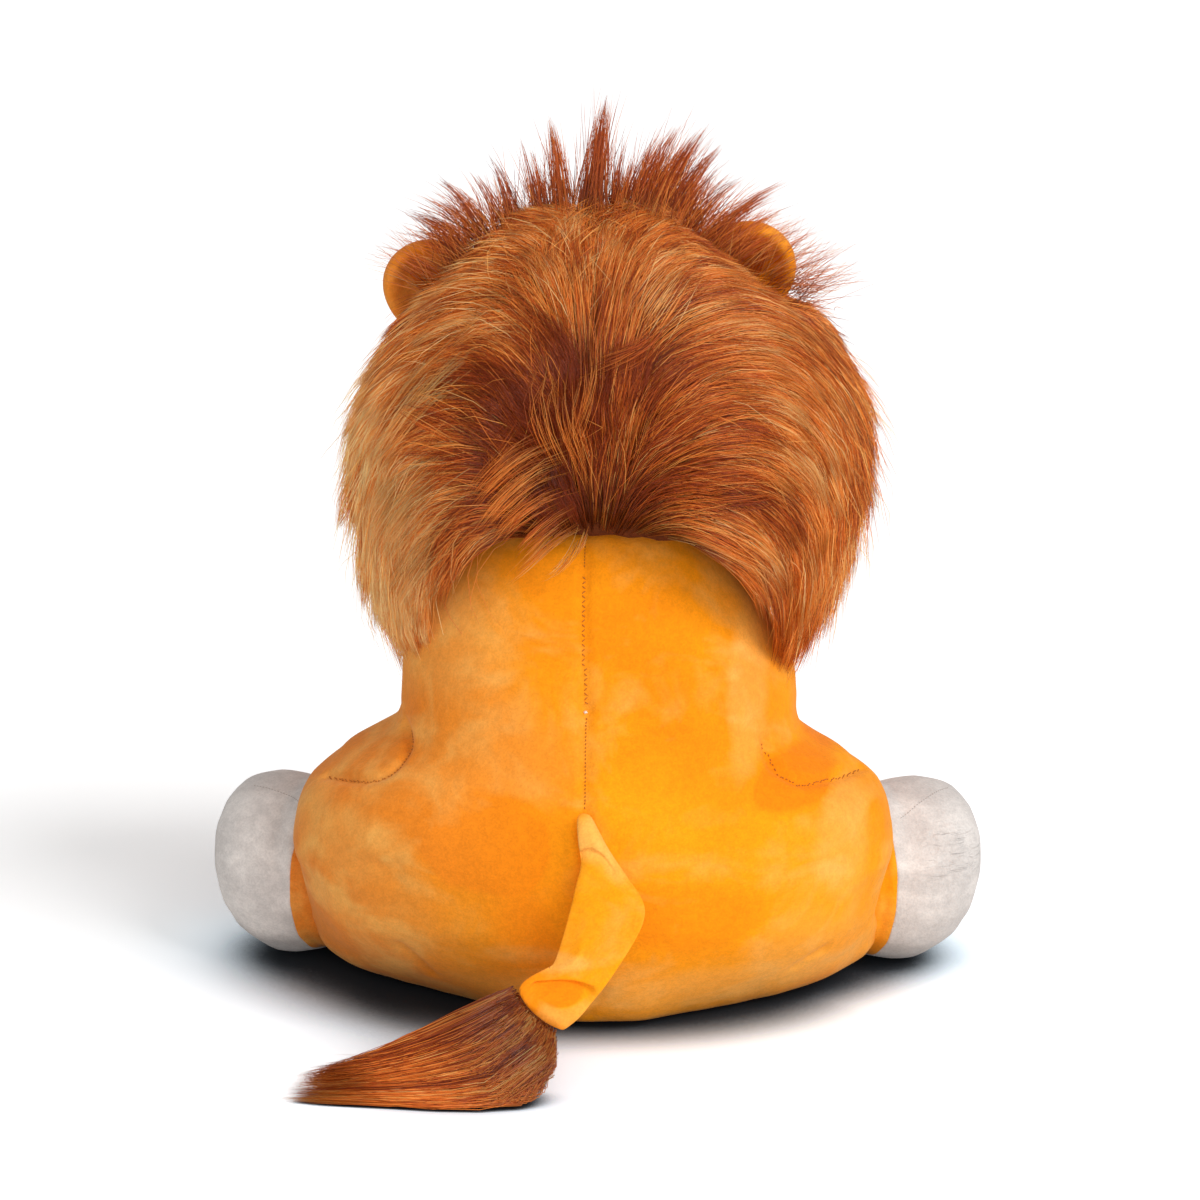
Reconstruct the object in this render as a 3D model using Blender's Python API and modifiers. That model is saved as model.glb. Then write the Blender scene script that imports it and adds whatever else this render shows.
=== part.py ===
"""Plush lion sitting up, facing +Y, on its flat seat at Z = 0. Metres, +Z up.

The body, the head and the limbs are soft forms that swell and taper. Each form is a sphere
whose rings are laid out along a spine and then subdivided. Sewn covers are open pieces of a
form with a wall, and the filling is the same form drawn in by that wall and a clearance.
"""

import math

import bmesh
import bpy
from mathutils import Matrix, Vector

MM = 0.001

# Fabric and clearances
FABRIC = 1.6 * MM
GAP = 0.3 * MM
RUN_GAP = 0.6 * MM
SEAM_GAP = 0.7 * MM
EAR_GAP = 0.8 * MM
FLAT_CUT = 0.5 * MM
HAIRLINE = 0.02 * MM
FAR = 600.0 * MM

# Body: height of its form, which the neck seam cuts level, half width over the haunches, and
# reach back and forward
BODY_HEIGHT = 244.0 * MM
BODY_HALF_WIDTH = 137.0 * MM
BODY_BACK = 114.0 * MM
BODY_FRONT = 57.0 * MM
BODY_SEAT_SINK = 3.0 * MM
# Each ring: height, half width, reach back, reach forward, widest place, front roundness
BODY_RING_SHARES = (
    (0.0, 0.76, 0.78, 0.80, -0.20, 1.9),
    (0.05, 0.93, 0.92, 0.94, -0.20, 1.75),
    (0.17, 0.98, 1.0, 1.02, -0.20, 1.65),
    (0.31, 0.99, 1.04, 1.03, -0.20, 1.65),
    (0.44, 0.98, 1.02, 0.80, -0.16, 1.75),
    (0.505, 0.60, 0.95, 0.74, -0.10, 1.9),
    (0.64, 0.67, 0.85, 0.80, -0.07, 2.0),
    (0.80, 0.59, 0.75, 0.80, -0.07, 2.0),
    (0.94, 0.41, 0.58, 0.66, -0.07, 2.0),
)
BACK_POWER = 2.25
BODY_AROUND = 12
BELLY_SEAM_Y = 14.0 * MM
SEAT_SEAM_Z = 9.0 * MM

# The neck seam is level: the head turns on the flat top of the body about an upright axis
NECK_CUT = 19.0 * MM
NECK_BACK = 8.0 * MM
NECK_CENTRE = Vector((0.0, -NECK_BACK, BODY_HEIGHT - BODY_SEAT_SINK - NECK_CUT))

# Pellet bag on the seat panel
BAG_HALF_WIDTH = 44.0 * MM
BAG_HALF_DEPTH = 36.0 * MM
BAG_HEIGHT = 30.0 * MM
BAG_BACK = 34.0 * MM

# Hind legs: the hip ball, the way the leg points, and the paw
HIP_RADIUS = 40.0 * MM
HIP_FORWARD = 4.0 * MM
HIP_HEIGHT = 47.0 * MM
HIP = Vector((BODY_HALF_WIDTH - HIP_RADIUS, HIP_FORWARD, HIP_HEIGHT))
HIP_SIDES = 16
HIP_SWING = math.radians(10.0)
HIND_TURN = math.radians(22.0)
HIND_LENGTH = 81.0 * MM
HIND_PAW_RADIUS = 41.5 * MM
HIND_PAW_SEAM = 25.0 * MM
# Each station: distance along the leg past the hip, half width, half height, height of the axis
HIND_BALL_SHARES = (-0.94, -0.72, -0.36, 0.0, 0.34)
HIND_TUBE_SHARES = (
    (0.30, 0.95, 0.96, 1.13),
    (0.38, 0.93, 0.97, 1.02),
    (0.56, 1.0, 1.015, 1.0),
    (0.75, 1.02, 1.03, 1.0),
    (0.90, 0.90, 0.95, 0.99),
    (0.975, 0.62, 0.68, 0.98),
)
HIND_AROUND = 14

# Front legs: the shoulder ball and the paw on the floor between the hind legs
SHOULDER_RADIUS = 24.0 * MM
SHOULDER_INSET = 82.0 * MM
SHOULDER_FORWARD = 43.0 * MM
SHOULDER_DROP = 70.0 * MM
SHOULDER = Vector(
    (BODY_HALF_WIDTH - SHOULDER_INSET, SHOULDER_FORWARD, NECK_CENTRE.z - SHOULDER_DROP)
)
SHOULDER_SIDES = 14
FRONT_REACH = 88.0 * MM
FRONT_INWARD = 8.0 * MM
FRONT_PAW_RADIUS = 23.0 * MM
FRONT_PAW_FORWARD = 9.0 * MM
FRONT_PAW_SEAM_SHARE = 0.70
FRONT_BALL_SHARES = (-0.94, -0.72, -0.36, 0.0, 0.34)
# Each station: share of the way to the floor, half width, half depth, push forward
FRONT_TUBE_SHARES = (
    (0.26, 0.92, 0.92, 0.0),
    (0.50, 0.86, 0.86, 0.0),
    (0.70, 0.88, 0.92, 0.15),
    (0.84, 1.04, 1.16, 0.75),
    (0.96, 1.04, 1.26, 1.0),
    (1.02, 0.74, 0.92, 1.0),
)
FRONT_AROUND = 12

# Head: its form starts below the neck seam, which cuts it level
HEAD_SINK = 25.0 * MM
HEAD_BOTTOM = NECK_CENTRE.z - HEAD_SINK
HEAD_HEIGHT = 142.0 * MM
HEAD_HALF_WIDTH = 82.0 * MM
HEAD_BACK = 65.0 * MM
HEAD_FRONT = 94.0 * MM
# Each ring: height, half width, reach back, reach forward, widest place, front roundness
HEAD_RING_SHARES = (
    (0.08, 0.74, 0.60, 0.86, 0.15, 2.1),
    (0.27, 1.0, 0.96, 1.04, 0.15, 2.2),
    (0.52, 1.08, 1.10, 1.08, 0.15, 2.2),
    (0.76, 0.95, 0.98, 0.90, 0.15, 2.2),
    (0.94, 0.60, 0.58, 0.54, 0.15, 2.0),
)
HEAD_AROUND = 10
FACE_SEAM_Y = 22.0 * MM

# Muzzle, nose and eyes, above the bottom of the head's form
MUZZLE_INSET = 10.0 * MM
MUZZLE_RISE = 46.0 * MM
MUZZLE_CENTRE = Vector((0.0, HEAD_FRONT - MUZZLE_INSET, HEAD_BOTTOM + MUZZLE_RISE))
MUZZLE_HALF = Vector((35.0 * MM, 29.0 * MM, 24.0 * MM))
NOSE_HALF = Vector((12.5 * MM, 7.0 * MM, 8.0 * MM))
NOSE_RISE = 15.0 * MM
EYE_X = 31.0 * MM
EYE_RISE = 83.0 * MM
EYE_Z = HEAD_BOTTOM + EYE_RISE
EYE_RADIUS = 8.5 * MM
EYE_DOME = 5.5 * MM
EYE_STAND = 0.8 * MM
SHAFT_RADIUS = 2.2 * MM
SHAFT_LENGTH = 12.0 * MM
WASHER_RADIUS = 8.0 * MM
WASHER_THICK = 1.8 * MM
WASHER_SEAT = 2.4 * MM
POCKET_DEPTH = 15.0 * MM

# Mane: the outside of the hair, and the arch over the back that the hair hangs round
MANE_DROP = 91.0 * MM
MANE_BOTTOM = NECK_CENTRE.z - MANE_DROP
MANE_HEIGHT = 228.0 * MM
MANE_HALF_WIDTH = 121.0 * MM
MANE_BACK = 102.0 * MM
MANE_FRONT = 76.0 * MM
MANE_RING_SHARES = (
    (0.02, 0.86, 0.62, 0.56, -0.06, 2.0),
    (0.18, 0.97, 0.86, 0.80, -0.06, 2.1),
    (0.42, 1.01, 1.01, 1.03, -0.06, 2.2),
    (0.66, 0.97, 1.03, 1.06, -0.06, 2.2),
    (0.85, 0.80, 0.90, 0.90, -0.06, 2.1),
    (0.96, 0.50, 0.58, 0.54, -0.06, 2.0),
)
MANE_AROUND = 12
MANE_CROWN_RISE = 100.0 * MM
MANE_CROWN_Z = NECK_CENTRE.z + MANE_CROWN_RISE
MANE_RUFF_Y = -12.0 * MM
MANE_INNER_RADIUS = 98.0 * MM
ARCH_HALF_WIDTH = 88.0 * MM
ARCH_RISE = 5.0 * MM
ARCH_TOP = NECK_CENTRE.z + ARCH_RISE
ARCH_HEIGHT = 127.0 * MM
# Crest locks: foot and tip, each as shares of the mane's half width across, its reach back in
# depth, and the crest's rise above the crown
CREST_RISE = 67.0 * MM
CREST_FOOT_RADIUS = 10.0 * MM
CREST_TIP_RADIUS = 0.5 * MM
CREST_LOCK_SHARES = (
    (-0.48, 0.02, -0.52, 0.03, 0.55),
    (-0.22, 0.00, -0.31, 0.02, 0.77),
    (-0.09, 0.02, -0.14, 0.00, 0.90),
    (0.04, 0.00, 0.05, 0.00, 1.00),
    (0.20, -0.03, 0.33, -0.04, 0.88),
    (0.34, 0.02, 0.50, 0.00, 0.86),
)

# Ears: the middle of the ear's rim, and the line where it is sewn to the head
EAR_INSET = 6.0 * MM
EAR_FORWARD = 8.0 * MM
EAR_RISE = 117.0 * MM
EAR_CENTRE = Vector((HEAD_HALF_WIDTH - EAR_INSET, EAR_FORWARD, HEAD_BOTTOM + EAR_RISE))
EAR_RADIUS = 23.0 * MM
EAR_CUP_RADIUS = 32.0 * MM
EAR_SEAM_OFFSET = Vector((11.0 * MM, 2.0 * MM, 5.0 * MM))
EAR_FOLD = EAR_CENTRE - EAR_SEAM_OFFSET
EAR_BACK_WALL = 2.6 * MM
EAR_LINING_WALL = 1.8 * MM
EAR_SLOT_RADIUS = 31.0 * MM
EAR_SLOT_HALF = 13.0 * MM
EAR_LINING_SHARE = 0.86

# Tail: its root seam on the back, the sleeve down to the tuft seam, the tuft to its tip
TAIL_ROOT_Z = 108.0 * MM
TAIL_END = Vector((-19.0 * MM, -150.0 * MM, 41.0 * MM))
TAIL_HALF_WIDTH = 15.0 * MM
TAIL_HALF_THICK = 4.0 * MM
TAIL_BOW = 17.0 * MM
# Each station: share of the way, half width, half thickness, sideways bow
TAIL_ROOT_SHARE = 0.3
TAIL_SHARES = (
    (0.03, 0.20, 0.75, 0.0),
    (0.14, 0.36, 0.80, 0.25),
    (0.38, 0.86, 0.95, 0.95),
    (0.60, 1.0, 1.0, 1.0),
    (0.84, 0.95, 1.0, 0.45),
    (0.97, 0.92, 1.2, 0.05),
)
TUFT_TIP = Vector((-127.0 * MM, -166.0 * MM, 6.0 * MM))
TUFT_HALF_WIDTH = 21.0 * MM
TUFT_SAG = 20.0 * MM
TUFT_LEAN_SHARE = 0.5
TUFT_SWING = math.radians(15.0)
TUFT_SHARES = (
    (0.02, 0.62, 0.50, 0.0),
    (0.14, 0.92, 0.72, 0.55),
    (0.32, 0.95, 0.76, 0.92),
    (0.54, 0.70, 0.62, 0.86),
    (0.76, 0.46, 0.42, 0.50),
    (0.93, 0.20, 0.22, 0.12),
)
SOFT_AROUND = 6

# The pieces that move together
PAIRED_HEAD_PIECES = ("eye", "eye_washer", "mane_back", "mane_ruff")
HEAD_PIECES = [
    "face_panel",
    "head_back_panel",
    "head_stuffing",
    "muzzle",
    "nose",
    "mane_crown",
    *[f"{piece}_{side}" for piece in PAIRED_HEAD_PIECES for side in ("left", "right")],
]
HIND_PIECES = ("hind_leg_cover", "hind_paw_cover", "hind_leg_stuffing")
FRONT_PIECES = ("front_leg_cover", "front_paw_cover", "front_leg_stuffing")
EAR_PIECES = ("ear_back", "ear_lining")

parts = None
cutters = None


def clear_scene():
    """Empties the file and makes the two collections."""
    global parts, cutters
    for old in list(bpy.data.objects):
        bpy.data.objects.remove(old, do_unlink=True)
    parts = bpy.data.collections.new("plush_lion")
    cutters = bpy.data.collections.new("cutters")
    for group in (parts, cutters):
        bpy.context.scene.collection.children.link(group)


def finish(name, colour, roughness):
    """A plain fabric or plastic material."""
    made = bpy.data.materials.new(name)
    made.use_nodes = True
    shader = made.node_tree.nodes["Principled BSDF"]
    shader.inputs["Base Color"].default_value = (*colour, 1.0)
    shader.inputs["Roughness"].default_value = roughness
    shader.inputs["Metallic"].default_value = 0.0
    return made


def make_object(name, mesh, material=None):
    """Puts a mesh in the scene, as a part or, with no material, as a cutter."""
    made = bpy.data.objects.new(name, mesh)
    if material is None:
        cutters.objects.link(made)
        made.hide_render = True
        made.display_type = "WIRE"
        return made
    parts.objects.link(made)
    made.data.materials.clear()
    made.data.materials.append(material)
    made.data.shade_smooth()
    return made


def evaluated_mesh(source):
    """The mesh of an object with its modifiers, after which the object is removed."""
    bpy.context.view_layer.update()
    found = source.evaluated_get(bpy.context.evaluated_depsgraph_get())
    mesh = bpy.data.meshes.new_from_object(found)
    bpy.data.objects.remove(source, do_unlink=True)
    return mesh


def in_triangles(mesh):
    """Splits bent faces once, so that every piece made from a form bends at the same edges."""
    bm = bmesh.new()
    bm.from_mesh(mesh)
    bmesh.ops.triangulate(bm, faces=bm.faces)
    bm.to_mesh(mesh)
    bm.free()
    return mesh


def laid_sphere(name, around, places, levels=1):
    """A closed form: a sphere whose poles and rings are put where places says, subdivided."""
    rings = len(places)
    bm = bmesh.new()
    bmesh.ops.create_uvsphere(bm, u_segments=around, v_segments=rings - 1, radius=1.0)
    for v in bm.verts:
        ring = round(math.acos(max(-1.0, min(1.0, -v.co.z))) * (rings - 1) / math.pi)
        v.co = places[ring](math.atan2(v.co.y, v.co.x))
    bmesh.ops.recalc_face_normals(bm, faces=bm.faces)
    if bm.calc_volume(signed=True) < 0:
        bmesh.ops.reverse_faces(bm, faces=bm.faces)
    mesh = bpy.data.meshes.new(name)
    bm.to_mesh(mesh)
    bm.free()
    if not levels:
        return in_triangles(mesh)
    cage = make_object(name, mesh)
    soften = cage.modifiers.new("soften", "SUBSURF")
    soften.levels = levels
    soften.render_levels = levels
    return in_triangles(evaluated_mesh(cage))


def even_halves(mesh):
    """Makes the left half of a form the exact reflection of its right half."""
    bm = bmesh.new()
    bm.from_mesh(mesh)
    everything = [*bm.verts, *bm.edges, *bm.faces]
    bmesh.ops.bisect_plane(
        bm,
        geom=everything,
        dist=HAIRLINE,
        plane_co=(0, 0, 0),
        plane_no=(-1, 0, 0),
        clear_outer=True,
    )
    everything = [*bm.verts, *bm.edges, *bm.faces]
    bmesh.ops.mirror(bm, geom=everything, axis="X", merge_dist=HAIRLINE)
    bmesh.ops.recalc_face_normals(bm, faces=bm.faces)
    bm.to_mesh(mesh)
    bm.free()
    return mesh


def rounded(value, power):
    """A cosine or sine bent towards a box shape for powers over 2."""
    return math.copysign(abs(value) ** (2.0 / power), value)


def level_ring(height, half_width, back, front, middle, power):
    """A level ring with its own reach back and forward of its widest place."""

    def place(angle):
        across, along = math.cos(angle), math.sin(angle)
        bend = power if along > 0 else BACK_POWER
        reach = front - middle if along > 0 else back + middle
        return Vector(
            (half_width * rounded(across, bend), middle + reach * rounded(along, bend), height)
        )

    return place


def standing_form(name, around, bottom, height, half_width, back, front, shares):
    """A soft form made of level rings from its lowest point to its top."""
    rings = [
        level_ring(bottom + height * z, half_width * w, back * b, front * f, back * m, p)
        for z, w, b, f, m, p in shares
    ]
    first, last = shares[0], shares[-1]
    low = Vector((0.0, back * first[4], bottom - height * first[0]))
    top = Vector((0.0, back * last[4], bottom + height))
    return even_halves(laid_sphere(name, around, [lambda a: low, *rings, lambda a: top]))


def spine_ring(centre, heading, half_width, half_height, side):
    """A ring round a spine. side is the way of its width."""
    along = heading.normalized()
    across = (side - along * side.dot(along)).normalized()
    up = across.cross(along)

    def place(angle):
        return centre + across * half_width * math.cos(angle) + up * half_height * math.sin(angle)

    return place


def spine_form(name, around, points, side, start, end, levels=1):
    """A soft form made of rings round a spine of (centre, half width, half height)."""
    rings = []
    for i, (centre, wide, high) in enumerate(points):
        before = points[max(i - 1, 0)][0]
        after = points[min(i + 1, len(points) - 1)][0]
        rings.append(spine_ring(centre, after - before, wide, high, side))
    return laid_sphere(name, around, [lambda a: start, *rings, lambda a: end], levels)


def cut_flat(mesh, height, out=(0, 0, -1)):
    """Takes off what is beyond a level plane and closes the form with a flat face."""
    bm = bmesh.new()
    bm.from_mesh(mesh)
    everything = [*bm.verts, *bm.edges, *bm.faces]
    cut = bmesh.ops.bisect_plane(
        bm, geom=everything, plane_co=(0, 0, height), plane_no=out, clear_outer=True
    )
    rim = [e for e in cut["geom_cut"] if isinstance(e, bmesh.types.BMEdge)]
    if rim:
        bmesh.ops.holes_fill(bm, edges=rim)
    bmesh.ops.remove_doubles(bm, verts=bm.verts, dist=HAIRLINE)
    bmesh.ops.recalc_face_normals(bm, faces=bm.faces)
    bm.to_mesh(mesh)
    bm.free()
    return mesh


def drawn_in(mesh, depth):
    """A copy of a closed form with every wall moved in by depth, or out if it is negative."""
    copy = mesh.copy()
    bm = bmesh.new()
    bm.from_mesh(copy)
    bm.normal_update()
    moves = [(v, v.normal * depth * v.calc_shell_factor()) for v in bm.verts]
    for v, move in moves:
        v.co -= move
    bm.to_mesh(copy)
    bm.free()
    return copy


def mirrored(mesh):
    """A copy of a mesh on the other side of the middle plane."""
    copy = mesh.copy()
    copy.transform(Matrix.Scale(-1.0, 4, (1, 0, 0)))
    copy.flip_normals()
    return copy


def twin(piece, name):
    """Makes the left piece of a pair from the finished right one."""
    bpy.context.view_layer.update()
    found = piece.evaluated_get(bpy.context.evaluated_depsgraph_get())
    mesh = bpy.data.meshes.new_from_object(found)
    return make_object(name, mirrored(mesh), piece.data.materials[0])


def trimmed(mesh, planes):
    """A copy of a mesh with what lies beyond each (point, way out) plane taken off."""
    copy = mesh.copy()
    bm = bmesh.new()
    bm.from_mesh(copy)
    for point, out in planes:
        everything = [*bm.verts, *bm.edges, *bm.faces]
        bmesh.ops.bisect_plane(
            bm, geom=everything, plane_co=point, plane_no=out, clear_outer=True
        )
    bm.to_mesh(copy)
    bm.free()
    return copy


def wall(target, thickness):
    """Gives an open piece of fabric its thickness, inwards."""
    made = target.modifiers.new("wall", "SOLIDIFY")
    made.thickness = thickness
    made.offset = -1.0
    made.use_even_offset = True
    made.use_quality_normals = True


def boolean(target, tools, operation="DIFFERENCE"):
    """Cuts or joins a piece with each of the tools, then closes up hairline faces."""
    for tool in tools:
        made = target.modifiers.new(tool.name, "BOOLEAN")
        made.object = tool
        made.operation = operation
        made.solver = "EXACT"
    tidy = target.modifiers.new("tidy", "WELD")
    tidy.merge_threshold = HAIRLINE


def ball_cutter(name, centre, radius, segments):
    """A ball tool, fat enough for its flats to clear a ball of the given radius."""
    bm = bmesh.new()
    size = (radius + RUN_GAP) / math.cos(math.pi / segments)
    bmesh.ops.create_uvsphere(bm, u_segments=segments, v_segments=segments // 2, radius=size)
    mesh = bpy.data.meshes.new(name)
    bm.to_mesh(mesh)
    bm.free()
    mesh.transform(Matrix.Translation(centre))
    return make_object(name, mesh)


def egg_mesh(name, centre, half, segments=16, rings=10):
    """An ellipsoid."""
    bm = bmesh.new()
    bmesh.ops.create_uvsphere(bm, u_segments=segments, v_segments=rings, radius=1.0)
    mesh = bpy.data.meshes.new(name)
    bm.to_mesh(mesh)
    bm.free()
    mesh.transform(Matrix.Translation(centre) @ Matrix.Diagonal((*half, 1.0)))
    return mesh


def rod_mesh(name, start, end, radius, tip_radius=None, segments=16):
    """A rod or a cone from one point to another."""
    way = end - start
    bm = bmesh.new()
    bmesh.ops.create_cone(
        bm,
        cap_ends=True,
        segments=segments,
        radius1=radius,
        radius2=radius if tip_radius is None else tip_radius,
        depth=way.length,
    )
    mesh = bpy.data.meshes.new(name)
    bm.to_mesh(mesh)
    bm.free()
    turn = Vector((0, 0, 1)).rotation_difference(way).to_matrix().to_4x4()
    mesh.transform(Matrix.Translation((start + end) / 2) @ turn)
    return mesh


def block_mesh(name, low, high):
    """A box between two corners."""
    bm = bmesh.new()
    bmesh.ops.create_cube(bm, size=1.0)
    mesh = bpy.data.meshes.new(name)
    bm.to_mesh(mesh)
    bm.free()
    size = [h - l for l, h in zip(low, high)]
    middle = [(h + l) / 2 for l, h in zip(low, high)]
    mesh.transform(Matrix.Translation(middle) @ Matrix.Diagonal((*size, 1.0)))
    return mesh


def body_form():
    """The outside of the body with its haunches, flat under the seat and at the neck seam."""
    mesh = standing_form(
        "body_form",
        BODY_AROUND,
        0.0,
        BODY_HEIGHT,
        BODY_HALF_WIDTH,
        BODY_BACK,
        BODY_FRONT,
        BODY_RING_SHARES,
    )
    mesh.transform(Matrix.Translation((0, 0, -BODY_SEAT_SINK)))
    return cut_flat(cut_flat(mesh, 0.0), NECK_CENTRE.z, (0, 0, 1))


def make_body(golden, filling, pellets, limb_cutters):
    """Four panels, the filling and the pellet bag."""
    form = body_form()
    half_gap = SEAM_GAP / 2
    above_seat = (Vector((0, 0, SEAT_SEAM_Z + half_gap)), Vector((0, 0, -1)))
    behind = (Vector((0, BELLY_SEAM_Y - half_gap, 0)), Vector((0, 1, 0)))
    ahead = (Vector((0, BELLY_SEAM_Y + half_gap, 0)), Vector((0, -1, 0)))
    middle = (Vector((half_gap, 0, 0)), Vector((-1, 0, 0)))
    panel = make_object("back_panel_right", trimmed(form, [above_seat, behind, middle]), golden)
    wall(panel, FABRIC)
    boolean(panel, limb_cutters)
    twin(panel, "back_panel_left")
    belly = make_object("belly_panel", trimmed(form, [above_seat, ahead]), golden)
    wall(belly, FABRIC)
    boolean(belly, limb_cutters)
    below_seam = (Vector((0, 0, SEAT_SEAM_Z - half_gap)), Vector((0, 0, 1)))
    seat = make_object("seat_panel", trimmed(form, [below_seam]), golden)
    wall(seat, FABRIC)
    boolean(seat, limb_cutters)

    bag_centre = Vector((0, -BAG_BACK, FABRIC + GAP))
    bag_half = Vector((BAG_HALF_WIDTH, BAG_HALF_DEPTH, BAG_HEIGHT))
    bag = egg_mesh("pellet_bag", bag_centre, bag_half)
    make_object("pellet_bag", cut_flat(bag, FABRIC + GAP), pellets)
    bag_room = egg_mesh("bag_room", bag_centre, bag_half + Vector((RUN_GAP,) * 3))
    stuffing = make_object("body_stuffing", drawn_in(form, FABRIC + GAP), filling)
    boolean(stuffing, [make_object("bag_room", bag_room), *limb_cutters])
    return form


def hind_leg_form():
    """The right hind leg from its hip ball to its toes, flat under the paw."""
    heading = Vector((math.cos(HIND_TURN), math.sin(HIND_TURN), 0.0))
    side = Vector((-math.sin(HIND_TURN), math.cos(HIND_TURN), 0.0))
    points = []
    for share in HIND_BALL_SHARES:
        radius = HIP_RADIUS * math.sqrt(1.0 - share * share)
        points.append((HIP + heading * HIP_RADIUS * share, radius, radius))
    for along, wide, high, rise in HIND_TUBE_SHARES:
        centre = HIP + heading * HIND_LENGTH * along
        centre.z = HIND_PAW_RADIUS * rise
        points.append((centre, HIND_PAW_RADIUS * wide, HIND_PAW_RADIUS * high))
    toe = HIP + heading * HIND_LENGTH
    toe.z = HIND_PAW_RADIUS * HIND_TUBE_SHARES[-1][3]
    start = HIP - heading * HIP_RADIUS
    mesh = spine_form("hind_leg_form", HIND_AROUND, points, side, start, toe, 0)
    return cut_flat(mesh, 0.0)


def swung(mesh, pivot, angle):
    """A copy of a mesh turned about the upright axis through a pivot."""
    copy = mesh.copy()
    turn = Matrix.Rotation(angle, 4, "Z")
    copy.transform(Matrix.Translation(pivot) @ turn @ Matrix.Translation(-pivot))
    return copy


def make_hind_legs(golden, grey, filling, body_cutter):
    """Both hind legs: a golden cover, a grey paw and their filling."""
    form = hind_leg_form()
    # The leg also clears the back when it swings back, but for its ball, which has a socket
    swing_room = make_object("swing_room", swung(body_cutter.data, HIP, HIP_SWING))
    both_rooms = make_object("both_rooms", body_cutter.data.copy())
    boolean(both_rooms, [swing_room], "UNION")
    ball = egg_mesh("hip_ball", HIP, (HIP_RADIUS,) * 3, HIP_SIDES, HIP_SIDES // 2)
    past_ball = make_object("room_past_ball", body_cutter.data.copy())
    boolean(past_ball, [swing_room], "UNION")
    boolean(past_ball, [make_object("hip_ball", ball)])
    heading = Vector((math.cos(HIND_TURN), math.sin(HIND_TURN), 0.0))
    seam = HIP + heading * HIND_PAW_SEAM
    half = heading * SEAM_GAP / 2
    cover_mesh = trimmed(form, [(seam - half, heading)])
    paw_mesh = trimmed(form, [(seam + half, -heading)])
    cover = make_object("hind_leg_cover_right", cover_mesh, golden)
    paw = make_object("hind_paw_cover_right", paw_mesh, grey)
    stuffing = make_object("hind_leg_stuffing_right", drawn_in(form, FABRIC + GAP), filling)
    wall(cover, FABRIC)
    wall(paw, FABRIC)
    boolean(cover, [both_rooms])
    boolean(paw, [both_rooms])
    boolean(stuffing, [past_ball])
    for piece in (cover, paw, stuffing):
        twin(piece, piece.name.replace("right", "left"))


def front_leg_form():
    """The right front leg from its shoulder ball to the paw, flat under the paw."""
    floor = Vector((SHOULDER.x - FRONT_INWARD, SHOULDER.y + FRONT_REACH, 0.0))
    way = floor - SHOULDER
    heading = way.normalized()
    points = []
    for share in FRONT_BALL_SHARES:
        radius = SHOULDER_RADIUS * math.sqrt(1.0 - share * share)
        points.append((SHOULDER + heading * SHOULDER_RADIUS * share, radius, radius))
    for along, wide, deep, push in FRONT_TUBE_SHARES:
        centre = SHOULDER + way * along + Vector((0, FRONT_PAW_FORWARD * push, 0))
        points.append((centre, FRONT_PAW_RADIUS * wide, FRONT_PAW_RADIUS * deep))
    toe = points[-1][0] + heading * FRONT_PAW_RADIUS / 2
    side = Vector((1, 0, 0))
    start = SHOULDER - heading * SHOULDER_RADIUS
    mesh = spine_form("front_leg_form", FRONT_AROUND, points, side, start, toe, 0)
    return cut_flat(mesh, 0.0)


def make_front_legs(golden, grey, filling, body_cutter):
    """Both front legs: a golden cover, a grey paw and their filling."""
    form = front_leg_form()
    floor = Vector((SHOULDER.x - FRONT_INWARD, SHOULDER.y + FRONT_REACH, 0.0))
    way = floor - SHOULDER
    heading = way.normalized()
    seam = SHOULDER + way * FRONT_PAW_SEAM_SHARE
    half = heading * SEAM_GAP / 2
    cover_mesh = trimmed(form, [(seam - half, heading)])
    paw_mesh = trimmed(form, [(seam + half, -heading)])
    cover = make_object("front_leg_cover_right", cover_mesh, golden)
    paw = make_object("front_paw_cover_right", paw_mesh, grey)
    stuffing = make_object("front_leg_stuffing_right", drawn_in(form, FABRIC + GAP), filling)
    wall(cover, FABRIC)
    wall(paw, FABRIC)
    boolean(cover, [body_cutter])
    for piece in (cover, paw, stuffing):
        twin(piece, piece.name.replace("right", "left"))


def head_form():
    """The outside of the head, flat where it sits on the neck seam."""
    mesh = standing_form(
        "head_form",
        HEAD_AROUND,
        HEAD_BOTTOM,
        HEAD_HEIGHT,
        HEAD_HALF_WIDTH,
        HEAD_BACK,
        HEAD_FRONT,
        HEAD_RING_SHARES,
    )
    return cut_flat(mesh, NECK_CENTRE.z + GAP)


def surface_point(mesh, x, z, side=1):
    """Where a form's front, or its back for side -1, is at a place across and a height."""
    probe = make_object("probe", mesh.copy())
    bpy.context.view_layer.update()
    hit, point, _, _ = probe.ray_cast(Vector((x, side * FAR, z)), Vector((0, -side, 0)))
    bpy.data.objects.remove(probe, do_unlink=True)
    return point


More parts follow.
